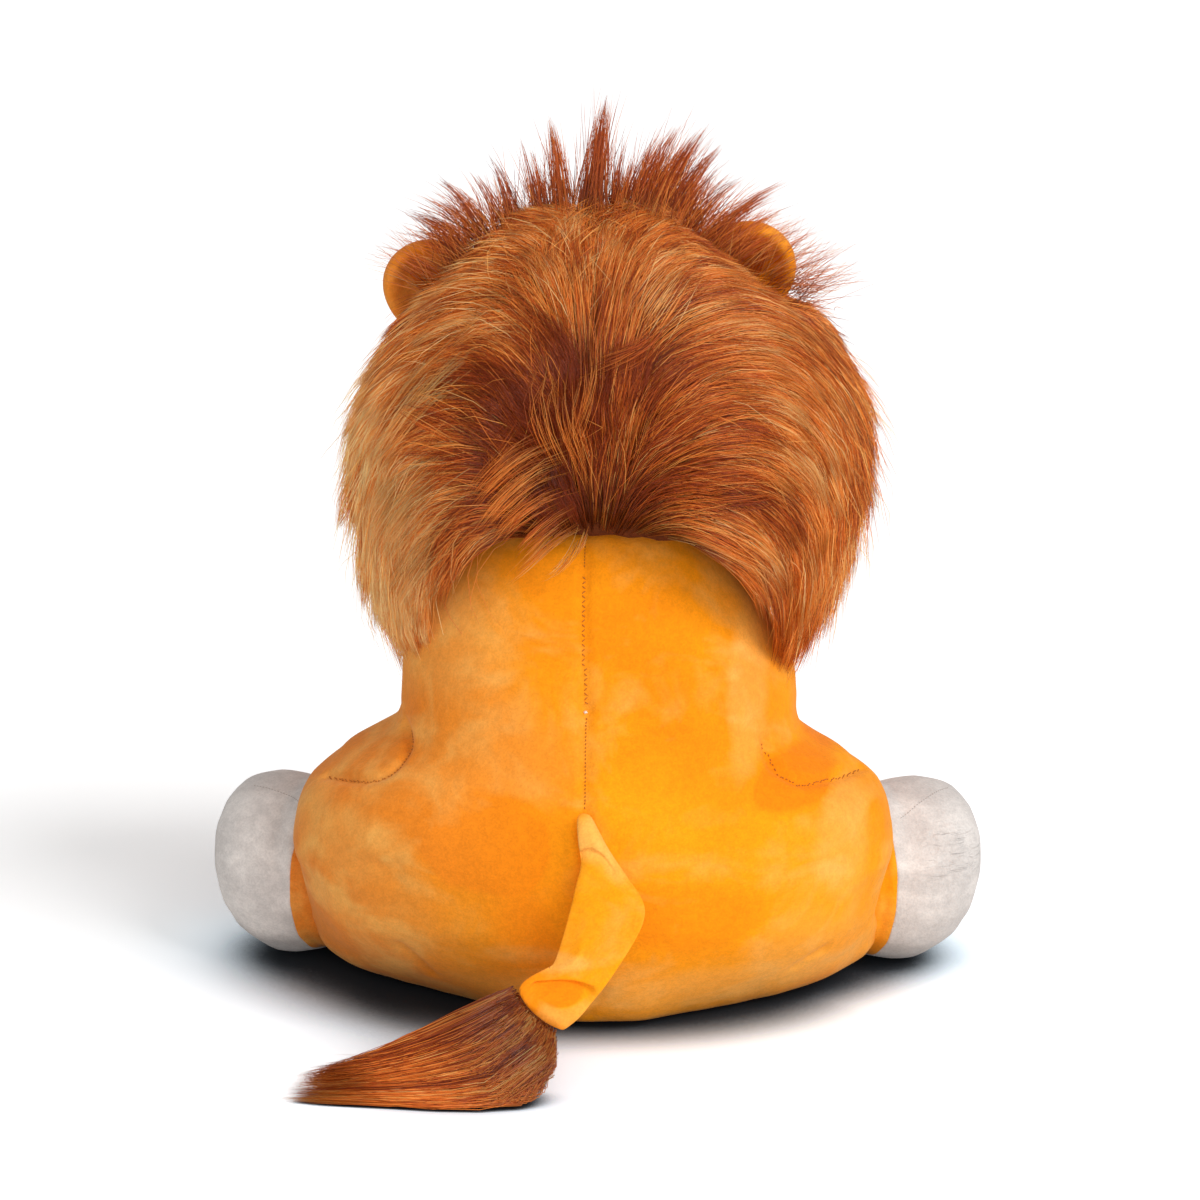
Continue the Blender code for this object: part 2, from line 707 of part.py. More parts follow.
def make_head(golden, pale, filling, eye_black, nose_brown, washer_white):
    """The head's panels and filling with the muzzle, the nose and the locked eyes."""
    form = head_form()
    half_gap = SEAM_GAP / 2
    ahead = (Vector((0, FACE_SEAM_Y + half_gap, 0)), Vector((0, -1, 0)))
    behind = (Vector((0, FACE_SEAM_Y - half_gap, 0)), Vector((0, 1, 0)))
    face = make_object("face_panel", trimmed(form, [ahead]), golden)
    back = make_object("head_back_panel", trimmed(form, [behind]), golden)
    stuffing = make_object("head_stuffing", drawn_in(form, FABRIC + GAP), filling)
    for piece in (face, back):
        wall(piece, FABRIC)

    # The face slopes away round the eye, so the eye lies along the slope, its shaft square to it
    inner = surface_point(form, EYE_X - EYE_RADIUS, EYE_Z)
    outer = surface_point(form, EYE_X + EYE_RADIUS, EYE_Z)
    lower = surface_point(form, EYE_X, EYE_Z - EYE_RADIUS)
    upper = surface_point(form, EYE_X, EYE_Z + EYE_RADIUS)
    out = (upper - lower).cross(outer - inner).normalized()
    seat = surface_point(form, EYE_X, EYE_Z) + out * EYE_STAND
    dome = half_egg_mesh("dome", seat, out, EYE_RADIUS, EYE_DOME)
    eye = make_object("eye_right", dome, eye_black)
    back_end, front_end = seat - out * SHAFT_LENGTH, seat + out * EYE_DOME / 2
    shaft = rod_mesh("shaft", back_end, front_end, SHAFT_RADIUS, None, 10)
    boolean(eye, [make_object("shaft_right", shaft)], "UNION")
    washer_face = seat - out * (EYE_STAND + FABRIC + WASHER_SEAT)
    washer_back = washer_face - out * WASHER_THICK
    washer = rod_mesh("washer", washer_back, washer_face, WASHER_RADIUS)
    washer = make_object("eye_washer_right", washer, washer_white)
    bore = rod_mesh("bore", back_end, front_end, SHAFT_RADIUS + GAP, None, 10)
    boolean(washer, [make_object("washer_bore_right", bore)])
    twin(eye, "eye_left")
    twin(washer, "eye_washer_left")

    hole = rod_mesh("hole", back_end, front_end, SHAFT_RADIUS + RUN_GAP, None, 10)
    pocket_back = seat - out * POCKET_DEPTH
    pocket = rod_mesh("pocket", pocket_back, front_end, WASHER_RADIUS + RUN_GAP)
    for side, shape in (("right", lambda m: m.copy()), ("left", mirrored)):
        boolean(face, [make_object(f"shaft_hole_{side}", shape(hole))])
        boolean(stuffing, [make_object(f"washer_pocket_{side}", shape(pocket))])

    skin = make_object("face_skin", drawn_in(form, -GAP))
    muzzle_mesh = egg_mesh("muzzle", MUZZLE_CENTRE, MUZZLE_HALF)
    nose_seat = surface_point(muzzle_mesh, 0.0, MUZZLE_CENTRE.z + NOSE_RISE)
    muzzle = make_object("muzzle", muzzle_mesh, pale)
    boolean(muzzle, [skin])
    nose = make_object("nose", egg_mesh("nose", nose_seat, NOSE_HALF, 12, 8), nose_brown)
    snout = egg_mesh("snout", MUZZLE_CENTRE, MUZZLE_HALF + Vector((GAP,) * 3))
    boolean(nose, [make_object("snout", snout)])
    return form


def half_egg_mesh(name, seat, out, radius, dome):
    """A dome with a flat back, standing on its seat along out."""
    mesh = egg_mesh(name, Vector((0, 0, 0)), (radius, radius, dome), 14, 8)
    cut_flat(mesh, 0.0)
    turn = Vector((0, 0, 1)).rotation_difference(out).to_matrix().to_4x4()
    mesh.transform(Matrix.Translation(seat) @ turn)
    return mesh


def cup_mesh(name, centre, radius, cup_radius):
    """An open cup, the -Y end of a sphere round centre, as wide at its rim as radius says."""
    bm = bmesh.new()
    bmesh.ops.create_uvsphere(bm, u_segments=14, v_segments=16, radius=cup_radius)
    edge = math.sqrt(cup_radius**2 - radius**2)
    everything = [*bm.verts, *bm.edges, *bm.faces]
    bmesh.ops.bisect_plane(
        bm, geom=everything, plane_co=(0, 0, edge), plane_no=(0, 0, -1), clear_outer=True
    )
    mesh = bpy.data.meshes.new(name)
    bm.to_mesh(mesh)
    bm.free()
    turn = Matrix.Rotation(math.radians(90.0), 4, "X")
    mesh.transform(Matrix.Translation(centre) @ turn)
    return mesh


def make_ears(golden, lining_orange, head):
    """Both ears: a golden back and a darker lining, seated on the head."""
    seat = make_object("ear_seat", drawn_in(head, -EAR_GAP))
    cup_centre = EAR_CENTRE + Vector((0, math.sqrt(EAR_CUP_RADIUS**2 - EAR_RADIUS**2), 0))
    back = cup_mesh("ear_back", cup_centre, EAR_RADIUS, EAR_CUP_RADIUS)
    back = make_object("ear_back_right", back, golden)
    wall(back, EAR_BACK_WALL)
    inner_radius = EAR_CUP_RADIUS - EAR_BACK_WALL - GAP
    lining_radius = EAR_RADIUS * EAR_LINING_SHARE
    lining = cup_mesh("ear_lining", cup_centre, lining_radius, inner_radius)
    lining = make_object("ear_lining_right", lining, lining_orange)
    wall(lining, EAR_LINING_WALL)
    for piece in (back, lining):
        boolean(piece, [seat])
        twin(piece, piece.name.replace("right", "left"))
    slot_way = Vector((0, EAR_SLOT_HALF, 0))
    slot = rod_mesh("slot", EAR_CENTRE - slot_way, EAR_CENTRE + slot_way, EAR_SLOT_RADIUS)
    return [make_object("ear_slot_right", slot), make_object("ear_slot_left", mirrored(slot))]


def make_mane(fur, head, ear_slots):
    """The mane: a crown with its crest locks, two back pieces and two ruff pieces."""
    form = standing_form(
        "mane_form",
        MANE_AROUND,
        MANE_BOTTOM,
        MANE_HEIGHT,
        MANE_HALF_WIDTH,
        MANE_BACK,
        MANE_FRONT,
        MANE_RING_SHARES,
    )
    skull = make_object("skull", drawn_in(head, -GAP))
    collar_low = Vector((0, NECK_CENTRE.y, 0))
    collar_high = Vector((0, NECK_CENTRE.y, NECK_CENTRE.z + RUN_GAP))
    collar = make_object(
        "collar_room", rod_mesh("collar", collar_low, collar_high, MANE_INNER_RADIUS, None, 48)
    )
    arch = arch_mesh("arch", ARCH_HALF_WIDTH, ARCH_TOP, -FAR, MANE_RUFF_Y)
    tools = [skull, collar, make_object("neck_arch", arch), *ear_slots]
    crown_room = block_mesh(
        "crown_room", (-FAR, -FAR, MANE_CROWN_Z + GAP / 2), (FAR, FAR, FAR)
    )
    crown = make_object("mane_crown", form.copy(), fur)
    boolean(crown, [make_object("crown_room", crown_room)], "INTERSECT")
    boolean(crown, crest_locks(), "UNION")
    boolean(crown, tools)
    for name, low_y, high_y in (
        ("mane_back", -FAR, MANE_RUFF_Y - GAP / 2),
        ("mane_ruff", MANE_RUFF_Y + GAP / 2, FAR),
    ):
        low = (GAP / 2, low_y, -FAR)
        high = (FAR, high_y, MANE_CROWN_Z - GAP / 2)
        room = make_object(f"{name}_room", block_mesh("room", low, high))
        piece = make_object(f"{name}_right", form.copy(), fur)
        boolean(piece, [room], "INTERSECT")
        boolean(piece, tools)
        twin(piece, f"{name}_left")


def arch_mesh(name, half_width, top, start_y, end_y):
    """A long arch-shaped tool that lies along Y, as wide as it is low at the foot."""
    mesh = rod_mesh(name, Vector((0, start_y, 0)), Vector((0, end_y, 0)), 1.0, None, 40)
    for v in mesh.vertices:
        v.co.x *= half_width
        v.co.z = top - ARCH_HEIGHT + v.co.z * ARCH_HEIGHT
    return mesh


def crest_locks():
    """Tapered locks of hair that stand on the crown."""
    locks = []
    base = MANE_CROWN_Z + CREST_FOOT_RADIUS
    for i, (foot_x, foot_y, tip_x, tip_y, rise) in enumerate(CREST_LOCK_SHARES):
        foot = Vector((MANE_HALF_WIDTH * foot_x, MANE_BACK * foot_y, base))
        tip = Vector((MANE_HALF_WIDTH * tip_x, MANE_BACK * tip_y, base + CREST_RISE * rise))
        mesh = rod_mesh("lock", foot, tip, CREST_FOOT_RADIUS, CREST_TIP_RADIUS, 8)
        locks.append(make_object(f"crest_lock_{i}", mesh))
    return locks


def tail_root(body):
    """Where the sleeve's top hangs, its edge a clearance off the back."""
    back = surface_point(body, 0.0, TAIL_ROOT_Z, -1)
    return back + Vector((0, -(TAIL_HALF_THICK * TAIL_ROOT_SHARE + GAP), 0))


def make_tail(golden, fur, root):
    """The flat sleeve and the tuft of long hair."""
    way = TAIL_END - root
    side = Vector((1, 0, 0))
    points = []
    for along, wide, thick, bow in TAIL_SHARES:
        centre = root + way * along + Vector((TAIL_BOW * bow, 0, 0))
        points.append((centre, TAIL_HALF_WIDTH * wide, TAIL_HALF_THICK * thick))
    end = TAIL_END.copy()
    sleeve = spine_form("tail_sleeve", SOFT_AROUND, points, side, root, end)
    make_object("tail_sleeve", sleeve, golden)

    sweep = TUFT_TIP - TAIL_END
    hair = []
    for along, wide, thick, sag in TUFT_SHARES:
        drop = Vector((0, -TUFT_SAG * TUFT_LEAN_SHARE, -TUFT_SAG)) * sag * (1.0 - along)
        centre = TAIL_END + sweep * along + drop
        hair.append((centre, TUFT_HALF_WIDTH * wide, TUFT_HALF_WIDTH * thick))
    first = TAIL_END - sweep.normalized() * TAIL_HALF_THICK
    tuft = spine_form("tail_tuft", SOFT_AROUND, hair, Vector((0, 0, 1)), first, TUFT_TIP)
    tuft = make_object("tail_tuft", cut_flat(tuft, FLAT_CUT), fur)
    room = drawn_in(sleeve, -GAP)
    tools = []
    for i, angle in enumerate((0.0, -TUFT_SWING, TUFT_SWING)):
        tools.append(make_object(f"sleeve_room_{i}", swung(room, TAIL_END, angle)))
    boolean(tuft, tools)


def hang_on(name, place, pieces):
    """Parents the pieces of a moving body to an empty on its joint's axis."""
    joint = bpy.data.objects.new(name, None)
    joint.location = place
    parts.objects.link(joint)
    for piece in pieces:
        bpy.data.objects[piece].parent = joint
        bpy.data.objects[piece].matrix_parent_inverse = Matrix.Translation(-place)


def main():
    """Makes every piece of the lion."""
    clear_scene()
    golden = finish("golden_plush", (0.90, 0.36, 0.02), 0.9)
    grey = finish("grey_plush", (0.62, 0.57, 0.52), 0.9)
    pale = finish("pale_plush", (0.66, 0.60, 0.54), 0.9)
    lining = finish("ear_lining_plush", (0.62, 0.20, 0.02), 0.9)
    fur = finish("russet_fur", (0.35, 0.12, 0.03), 0.8)
    filling = finish("fibre_filling", (0.85, 0.85, 0.83), 1.0)
    pellets = finish("pellet_bag_cloth", (0.75, 0.75, 0.72), 0.8)
    eye_black = finish("eye_plastic", (0.01, 0.008, 0.006), 0.1)
    nose_brown = finish("nose_plush", (0.05, 0.02, 0.015), 0.6)
    washer = finish("washer_plastic", (0.8, 0.8, 0.78), 0.5)

    limb_cutters = []
    for i, sign in enumerate((-1, 1)):
        hip = Vector((sign * HIP.x, HIP.y, HIP.z))
        shoulder = Vector((sign * SHOULDER.x, SHOULDER.y, SHOULDER.z))
        limb_cutters.append(ball_cutter(f"hip_room_{i}", hip, HIP_RADIUS, HIP_SIDES))
        ball = ball_cutter(f"shoulder_room_{i}", shoulder, SHOULDER_RADIUS, SHOULDER_SIDES)
        limb_cutters.append(ball)
    body = make_body(golden, filling, pellets, limb_cutters)
    body_cutter = make_object("body_room", drawn_in(body, -GAP))
    make_hind_legs(golden, grey, filling, body_cutter)
    make_front_legs(golden, grey, filling, body_cutter)
    head = make_head(golden, pale, filling, eye_black, nose_brown, washer)
    slots = make_ears(golden, lining, head)
    make_mane(fur, head, slots)
    root = tail_root(body)
    make_tail(golden, fur, root)

    hang_on("neck_joint", NECK_CENTRE, HEAD_PIECES)
    hang_on("tail_joint", root, ["tail_sleeve"])
    hang_on("tuft_joint", TAIL_END, ["tail_tuft"])
    for side, sign in (("left", -1), ("right", 1)):
        across = Vector((sign, 1, 1))
        hang_on(f"hip_joint_{side}", HIP * across, [f"{n}_{side}" for n in HIND_PIECES])
        hang_on(f"shoulder_joint_{side}", SHOULDER * across, [f"{n}_{side}" for n in FRONT_PIECES])
        hang_on(f"ear_joint_{side}", EAR_FOLD * across, [f"{n}_{side}" for n in EAR_PIECES])


main()
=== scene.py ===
import math

import bpy
import numpy as np
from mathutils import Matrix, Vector, kdtree
from mathutils.bvhtree import BVHTree


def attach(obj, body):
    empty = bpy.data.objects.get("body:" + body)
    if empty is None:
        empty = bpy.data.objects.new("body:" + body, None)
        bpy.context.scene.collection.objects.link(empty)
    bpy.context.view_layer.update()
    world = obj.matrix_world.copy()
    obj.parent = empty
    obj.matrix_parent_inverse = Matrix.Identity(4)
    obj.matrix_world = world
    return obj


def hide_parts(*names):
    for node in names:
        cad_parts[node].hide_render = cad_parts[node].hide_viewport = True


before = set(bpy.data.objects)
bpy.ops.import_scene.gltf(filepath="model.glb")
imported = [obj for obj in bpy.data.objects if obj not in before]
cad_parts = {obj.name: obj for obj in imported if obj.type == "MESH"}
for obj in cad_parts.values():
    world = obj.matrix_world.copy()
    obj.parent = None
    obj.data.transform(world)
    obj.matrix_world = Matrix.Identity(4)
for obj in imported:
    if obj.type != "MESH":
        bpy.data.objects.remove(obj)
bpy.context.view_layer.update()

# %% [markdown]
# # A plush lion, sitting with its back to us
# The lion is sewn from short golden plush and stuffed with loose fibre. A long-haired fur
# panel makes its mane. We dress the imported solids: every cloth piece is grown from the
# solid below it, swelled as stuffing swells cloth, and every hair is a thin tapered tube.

MM = 0.001
bpy.ops.object.select_all(action="DESELECT")

# %% [markdown]
# ## The camera
# The toy is seen from behind, a little from above and 2 degrees from its middle plane. A long
# lens 1.7 m away keeps the body from bulging. We aim it at a point on the toy's back.

# %% Camera
CAMERA_TURN = math.radians(2.0)
CAMERA_RISE = math.radians(15.0)
CAMERA_AWAY = 1.7
AIM = Vector((3.6 * MM, 0.0, 174.2 * MM))
FIELD = 0.54


def place_camera():
    """A camera on a sphere round the aim, looking back at it."""
    outward = Vector((
        math.sin(CAMERA_TURN) * math.cos(CAMERA_RISE),
        -math.cos(CAMERA_TURN) * math.cos(CAMERA_RISE),
        math.sin(CAMERA_RISE),
    ))
    bpy.ops.object.camera_add(location=AIM + outward * CAMERA_AWAY)
    camera = bpy.context.object
    camera.rotation_euler = (-outward).to_track_quat("-Z", "Y").to_euler()
    camera.data.lens = camera.data.sensor_width * CAMERA_AWAY / FIELD
    bpy.context.scene.camera = camera
    return camera


camera = place_camera()
print("the lens is", round(camera.data.lens, 1), "mm")

# %% [markdown]
# ## Finishes as sums
# A finish is a tree of nodes. Wiring nodes one by one is slow to read, so a small class holds
# one output and lets us write sums with it: 1 - mask adds a Math node by itself.

# %% A finish and its wires
class Wire:
    """One output of a node. Sums on it add Math nodes to its finish."""

    def __init__(self, finish, socket):
        self.finish = finish
        self.socket = socket

    def join(self, operation, first, second):
        return self.finish.add("ShaderNodeMath", {"operation": operation}, {0: first, 1: second})

    def __add__(self, other):
        return self.join("ADD", self, other)

    __radd__ = __add__

    def __mul__(self, other):
        return self.join("MULTIPLY", self, other)

    __rmul__ = __mul__

    def __sub__(self, other):
        return self.join("SUBTRACT", self, other)

    def __rsub__(self, other):
        return self.join("SUBTRACT", other, self)

    def __truediv__(self, other):
        return self.join("DIVIDE", self, other)

    def __rtruediv__(self, other):
        return self.join("DIVIDE", other, self)

    def __pow__(self, other):
        return self.join("POWER", self, other)

    def ramp(self, low, high, start=0.0, end=1.0):
        """A smooth step: start below low, end above high."""
        settings = {"interpolation_type": "SMOOTHSTEP"}
        return self.finish.add("ShaderNodeMapRange", settings, {0: self, 1: low, 2: high, 3: start, 4: end})


class Finish:
    """A material with one Principled shader, and the ways to feed it."""

    def __init__(self, name, roughness=0.8, **constants):
        self.material = bpy.data.materials.new(name)
        self.material.use_nodes = True
        self.tree = self.material.node_tree
        self.shader = self.tree.nodes["Principled BSDF"]
        self.shader.inputs["Roughness"].default_value = roughness
        for name, value in constants.items():
            self.shader.inputs[name.replace("_", " ")].default_value = value

    def add(self, kind, settings, inputs, output=0):
        """Any node: its type, its settings first, then values or wires on its sockets."""
        node = self.tree.nodes.new(kind)
        for name, value in settings.items():
            if name == "stops":
                ramp = node.color_ramp
                while len(ramp.elements) < len(value):
                    ramp.elements.new(0.5)
                for stop, (place, colour) in zip(ramp.elements, value):
                    stop.position = place
                    stop.color = (*colour, 1.0)
            else:
                setattr(node, name, value)
        for key, value in inputs.items():
            if isinstance(value, Wire):
                self.tree.links.new(value.socket, node.inputs[key])
            elif value is not None:
                node.inputs[key].default_value = value
        return Wire(self, node.outputs[output])

    def place(self):
        """The place on the object, in metres."""
        return self.add("ShaderNodeTexCoord", {}, {}, "Object")

    def axes(self, vector):
        split = {"Vector": vector}
        return [self.add("ShaderNodeSeparateXYZ", {}, split, n) for n in range(3)]

    def noise(self, scale, detail=2.0, vector=None, rough=0.5, stretch=None, twist=0.0):
        """Cloudy noise; scale is in bumps per metre."""
        vector = vector or self.place()
        if stretch:
            vector = self.add("ShaderNodeMapping", {}, {"Vector": vector, "Scale": stretch})
        values = {"Vector": vector, "Scale": scale, "Detail": detail, "Roughness": rough, "Distortion": twist}
        return self.add("ShaderNodeTexNoise", {}, values)

    def mix(self, share, first, second, blend="MIX"):
        """A colour between two colours."""
        settings = {"data_type": "RGBA", "blend_type": blend}
        colours = {0: share, 6: self.colour(first), 7: self.colour(second)}
        return self.add("ShaderNodeMix", settings, colours, 2)

    def dimmed(self, colour, level):
        """A colour times a level, 1 leaves it as it is."""
        grey = self.add("ShaderNodeCombineColor", {}, {0: level, 1: level, 2: level})
        return self.mix(1.0, colour, grey, "MULTIPLY")

    def colour(self, value):
        return value if isinstance(value, Wire) else (*value, 1.0)

    def shades(self, wire, stops):
        return self.add("ShaderNodeValToRGB", {"stops": stops}, {0: wire})

    def feed(self, **wires):
        for name, wire in wires.items():
            self.tree.links.new(wire.socket, self.shader.inputs[name.replace("_", " ")])
        return self

    def emboss(self, height, depth, normal=None):
        """A bump of that depth in metres."""
        values = {"Height": height, "Distance": depth, "Strength": 1.0}
        if normal:
            values["Normal"] = normal
        return self.add("ShaderNodeBump", {}, values)


def rgb(red, green, blue):
    """A colour as a paint chart gives it, 0 to 255, made linear for the shader."""
    return tuple(((c / 255 + 0.055) / 1.055) ** 2.4 if c > 10 else c / 255 / 12.92 for c in (red, green, blue))


# %% [markdown]
# ## Floor, light and background
# The toy stands on a white sweep. A broad soft light hangs at the upper right, the room fills
# the shadows, and the background is plain white. The floor is a shade brighter to the camera
# than to the toy, so that it reads as white and still takes the soft shadow. Right under the toy
# a painted shadow darkens the floor's own colour, further out on the left, and near the toy a
# painted cool tint offsets the orange light that the toy throws onto the floor.

# %% Floor and lights
FLOOR_HALF = 6.0
KEY_FROM = Vector((0.82, -0.56, 0.92))
KEY_STRENGTH = 1.58
KEY_SOFTNESS = math.radians(28.0)
ROOM_LEVEL = 0.52
CONTACT_REACH = 42 * MM
BOUNCE_REACH = 250 * MM


def make_floor():
    bpy.ops.mesh.primitive_plane_add(size=2 * FLOOR_HALF)
    floor = bpy.context.object
    floor.name = "floor"
    paper = Finish("floor_paper", roughness=0.9, Specular_IOR_Level=0.0)
    seen = paper.add("ShaderNodeLightPath", {}, {}, "Is Camera Ray")
    grain = paper.noise(40.0, 1.0) * 0.01
    # Painted light: to the camera, the floor near the toy is painted a cooler white against the orange light the
    # toy throws onto it.
    nearby = paper.add("ShaderNodeAmbientOcclusion", {"samples": 8}, {"Distance": BOUNCE_REACH}, "AO")
    cooled = paper.mix(nearby.ramp(0.45, 1.0), (1.18, 1.36, 1.50), (1.35, 1.35, 1.35))
    white = paper.mix(seen + grain, (0.80, 0.80, 0.80), cooled)
    # Painted shadow: close under the toy, ambient occlusion darkens the floor's own colour to near black,
    # reaching further out on the left.
    crevice = paper.add("ShaderNodeAmbientOcclusion", {"samples": 16}, {"Distance": CONTACT_REACH}, "AO")
    wider = paper.add("ShaderNodeAmbientOcclusion", {"samples": 16}, {"Distance": CONTACT_REACH * 2.4}, "AO")
    x, y, _ = paper.axes(paper.place())
    wider_painted_shadow_area = x.ramp(0.02, -0.10) * y.ramp(0.10, 0.0)
    clear_of_painted_shadow = crevice.ramp(0.20, 0.74) * (1.0 - wider_painted_shadow_area * (1.0 - wider.ramp(0.25, 0.80)))
    paper.feed(Base_Color=paper.mix(clear_of_painted_shadow, (0.030, 0.034, 0.040), white))
    floor.data.materials.append(paper.material)
    return floor


def make_room():
    """White to the camera and to transmission rays, a soft grey to everything else."""
    world = bpy.data.worlds.new("room")
    bpy.context.scene.world = world
    world.use_nodes = True
    tree = world.node_tree
    tree.nodes.clear()
    path = tree.nodes.new("ShaderNodeLightPath")
    seen = tree.nodes.new("ShaderNodeMath")
    seen.operation = "MAXIMUM"
    tree.links.new(path.outputs["Is Camera Ray"], seen.inputs[0])
    tree.links.new(path.outputs["Is Transmission Ray"], seen.inputs[1])
    level = tree.nodes.new("ShaderNodeMapRange")
    level.inputs[3].default_value = ROOM_LEVEL
    level.inputs[4].default_value = 1.0
    tree.links.new(seen.outputs[0], level.inputs[0])
    sky = tree.nodes.new("ShaderNodeBackground")
    sky.inputs["Color"].default_value = (1.0, 1.0, 1.0, 1.0)
    tree.links.new(level.outputs[0], sky.inputs["Strength"])
    out = tree.nodes.new("ShaderNodeOutputWorld")
    tree.links.new(sky.outputs[0], out.inputs[0])


def make_light(kind, away, strength, size=0.0):
    """A lamp in that direction, aimed at the toy."""
    bpy.ops.object.light_add(type=kind, location=away)
    lamp = bpy.context.object
    lamp.rotation_euler = (AIM - away).to_track_quat("-Z", "Y").to_euler()
    lamp.data.energy = strength
    if kind == "SUN":
        lamp.data.angle = size
    else:
        lamp.data.size = size
    return lamp


floor = make_floor()
make_room()
make_light("SUN", KEY_FROM * 2.0, KEY_STRENGTH, KEY_SOFTNESS)
make_light("AREA", Vector((0.3, -1.7, 0.6)), 10.0, 1.0)
bpy.context.scene.view_settings.view_transform = "Standard"
print("floor, room and two lamps are in place")

# %% [markdown]
# ## The golden plush
# Short pile cloth changes shade with the way it is brushed: where the nap lies away it is deep
# orange, where it lies towards us it is pale. We let two cloudy noises decide, the larger one
# stretched along the strokes of a hand, and add a fine grain for the tips of the pile.

# %% Plush finish
DEEP_GOLD, BRIGHT_GOLD = rgb(246, 136, 4), rgb(252, 158, 10)
SHADED_GOLD, PALE_GOLD = rgb(232, 134, 44), rgb(250, 188, 98)


def nap(finish, scale=20.0, twist=1.4):
    """How pale the brushed pile is, 0 to 1, in soft strokes."""
    wide = finish.noise(scale, 3.0, rough=0.55, stretch=(1.0, 1.0, 1.5), twist=twist)
    small = finish.noise(scale * 4.2, 2.0, stretch=(1.0, 1.0, 0.6), twist=0.6)
    return (wide * 0.8 + small * 0.2).ramp(0.40, 0.72)


def pile(finish, colour, fine=1000.0, depth=0.00026):
    """The grain of the pile tips, as a shade and as a bump."""
    grain = finish.noise(fine, 2.0, rough=0.7)
    soft = finish.noise(fine * 0.28, 2.0, rough=0.6)
    shade = (grain * 0.6 + soft * 0.4).ramp(0.3, 0.7, 0.87, 1.09)
    tinted = finish.dimmed(colour, shade)
    return tinted, finish.emboss(grain * 0.5 + soft * 0.8, depth)


# Where hands left the pile of the body: place across and up in mm, half sizes, paler or deeper
PATCHES = [
    (-66, 176, 34, 30, 0.6), (-42, 92, 26, 20, -0.9), (-104, 84, 24, 14, 0.55), (-92, 46, 30, 26, 0.3),
    (70, 150, 8, 36, 0.6), (30, 178, 30, 22, -0.3), (90, 112, 20, 10, -0.8), (112, 84, 12, 22, 0.6),
    (40, 62, 44, 18, -0.5), (40, 22, 90, 12, 0.6), (-40, 128, 34, 22, 0.3), (-16, 204, 24, 12, -0.4),
    (34, 130, 26, 18, -0.45), (96, 36, 22, 26, 0.35), (-118, 30, 14, 20, -0.5),
]


def patchy(finish, x, z, patches):
    """Soft patches, paler above zero and deeper below: patches of pile, and on the tail also painted shade and
    highlight at a fold.
    """
    total = None
    bend = (finish.noise(26.0, 3.0, rough=0.6) - 0.5) * 1.5
    for across, up, wide, high, amount in patches:
        far = ((x - across * MM) / (wide * MM)) ** 2.0 + ((z - up * MM) / (high * MM)) ** 2.0
        patch = (far + bend).ramp(1.7, 0.2) * amount
        total = patch if total is None else total + patch
    return total


def golden_finish(name="golden_plush", patches=PATCHES):
    finish = Finish(name, roughness=0.85, Sheen_Weight=0.14, Sheen_Roughness=0.4, Specular_IOR_Level=0.15)
    finish.shader.inputs["Sheen Tint"].default_value = (1.0, 0.78, 0.48, 1.0)
    x, _, z = finish.axes(finish.place())
    brushed = nap(finish)
    # Painted shade: the left side, away from the key light, is painted a duller gold and given a larger pale
    # share.
    left = x.ramp(-0.13, 0.0, 1.0, 0.0)
    cloudy = finish.noise(9.0, 2.0, rough=0.5, twist=0.5).ramp(0.35, 0.65)
    pile_and_painted_patches = patchy(finish, x, z, patches)
    deep = finish.mix(cloudy - pile_and_painted_patches.ramp(-0.2, -0.8), DEEP_GOLD, BRIGHT_GOLD)
    base = finish.mix(left, deep, SHADED_GOLD)
    pale_share = brushed * (0.38 + left * 0.22) + pile_and_painted_patches * 0.5
    gold = finish.mix(pale_share, base, PALE_GOLD)
    tinted, bump = pile(finish, gold)
    return finish.feed(Base_Color=tinted, Normal=bump)


WRINKLES = (0.164, -0.010, 0.060)


def grey_finish():
    finish = Finish("grey_plush", roughness=0.85, Sheen_Weight=0.2, Sheen_Roughness=0.45,
                    Specular_IOR_Level=0.25)
    brushed = nap(finish, 32.0, 0.8)
    grey = finish.mix(brushed, rgb(206, 199, 194), rgb(230, 223, 217))
    tinted, bump = pile(finish, grey)
    x, y, z = finish.axes(finish.place())
    far = ((z - WRINKLES[2]) / 0.012) ** 2.0 + ((y - WRINKLES[1]) / 0.016) ** 2.0
    here = far.ramp(1.8, 0.2) * x.ramp(0.146, 0.160)
    lines = finish.noise(170.0, 1.0, stretch=(0.6, 0.6, 2.2), twist=0.8).ramp(0.35, 0.65)
    return finish.feed(Base_Color=tinted, Normal=finish.emboss(lines * here, 0.0006, bump))


def pale_finish():
    finish = Finish("pale_plush", roughness=0.85, Sheen_Weight=0.2, Sheen_Roughness=0.45,
                    Specular_IOR_Level=0.25)
    brushed = nap(finish, 45.0, 0.8)
    cream = finish.mix(brushed, rgb(240, 214, 168), rgb(250, 234, 204))
    tinted, bump = pile(finish, cream)
    return finish.feed(Base_Color=tinted, Normal=bump)


golden_plush = golden_finish()
grey_plush = grey_finish()
pale_plush = pale_finish()
print("cloths:", [m.name for m in bpy.data.materials if "plush" in m.name])

# %% [markdown]
# ## From a solid to a stuffed skin
# A sewn skin follows its stuffing, but it has no sharp arris anywhere. We copy the solids,
# merge them, wrap them in one even skin (voxel remesh), and let a cloth simulation blow it up a
# little from inside, as filling does. Seams are held back, so the cloth puffs up beside them.

# %% Copying and wrapping solids
SIM_FRAMES = 20


def alone(piece):
    """Selects one object and nothing else."""
    bpy.ops.object.select_all(action="DESELECT")
    piece.select_set(True)
    bpy.context.view_layer.objects.active = piece
    return piece


def merged(name, pieces):
    """Joins the pieces into the first one and gives it the name."""
    bpy.ops.object.select_all(action="DESELECT")
    for piece in pieces:
        piece.select_set(True)
    bpy.context.view_layer.objects.active = pieces[0]
    if len(pieces) > 1:
        bpy.ops.object.join()
    pieces[0].name = pieces[0].data.name = name
    return pieces[0]


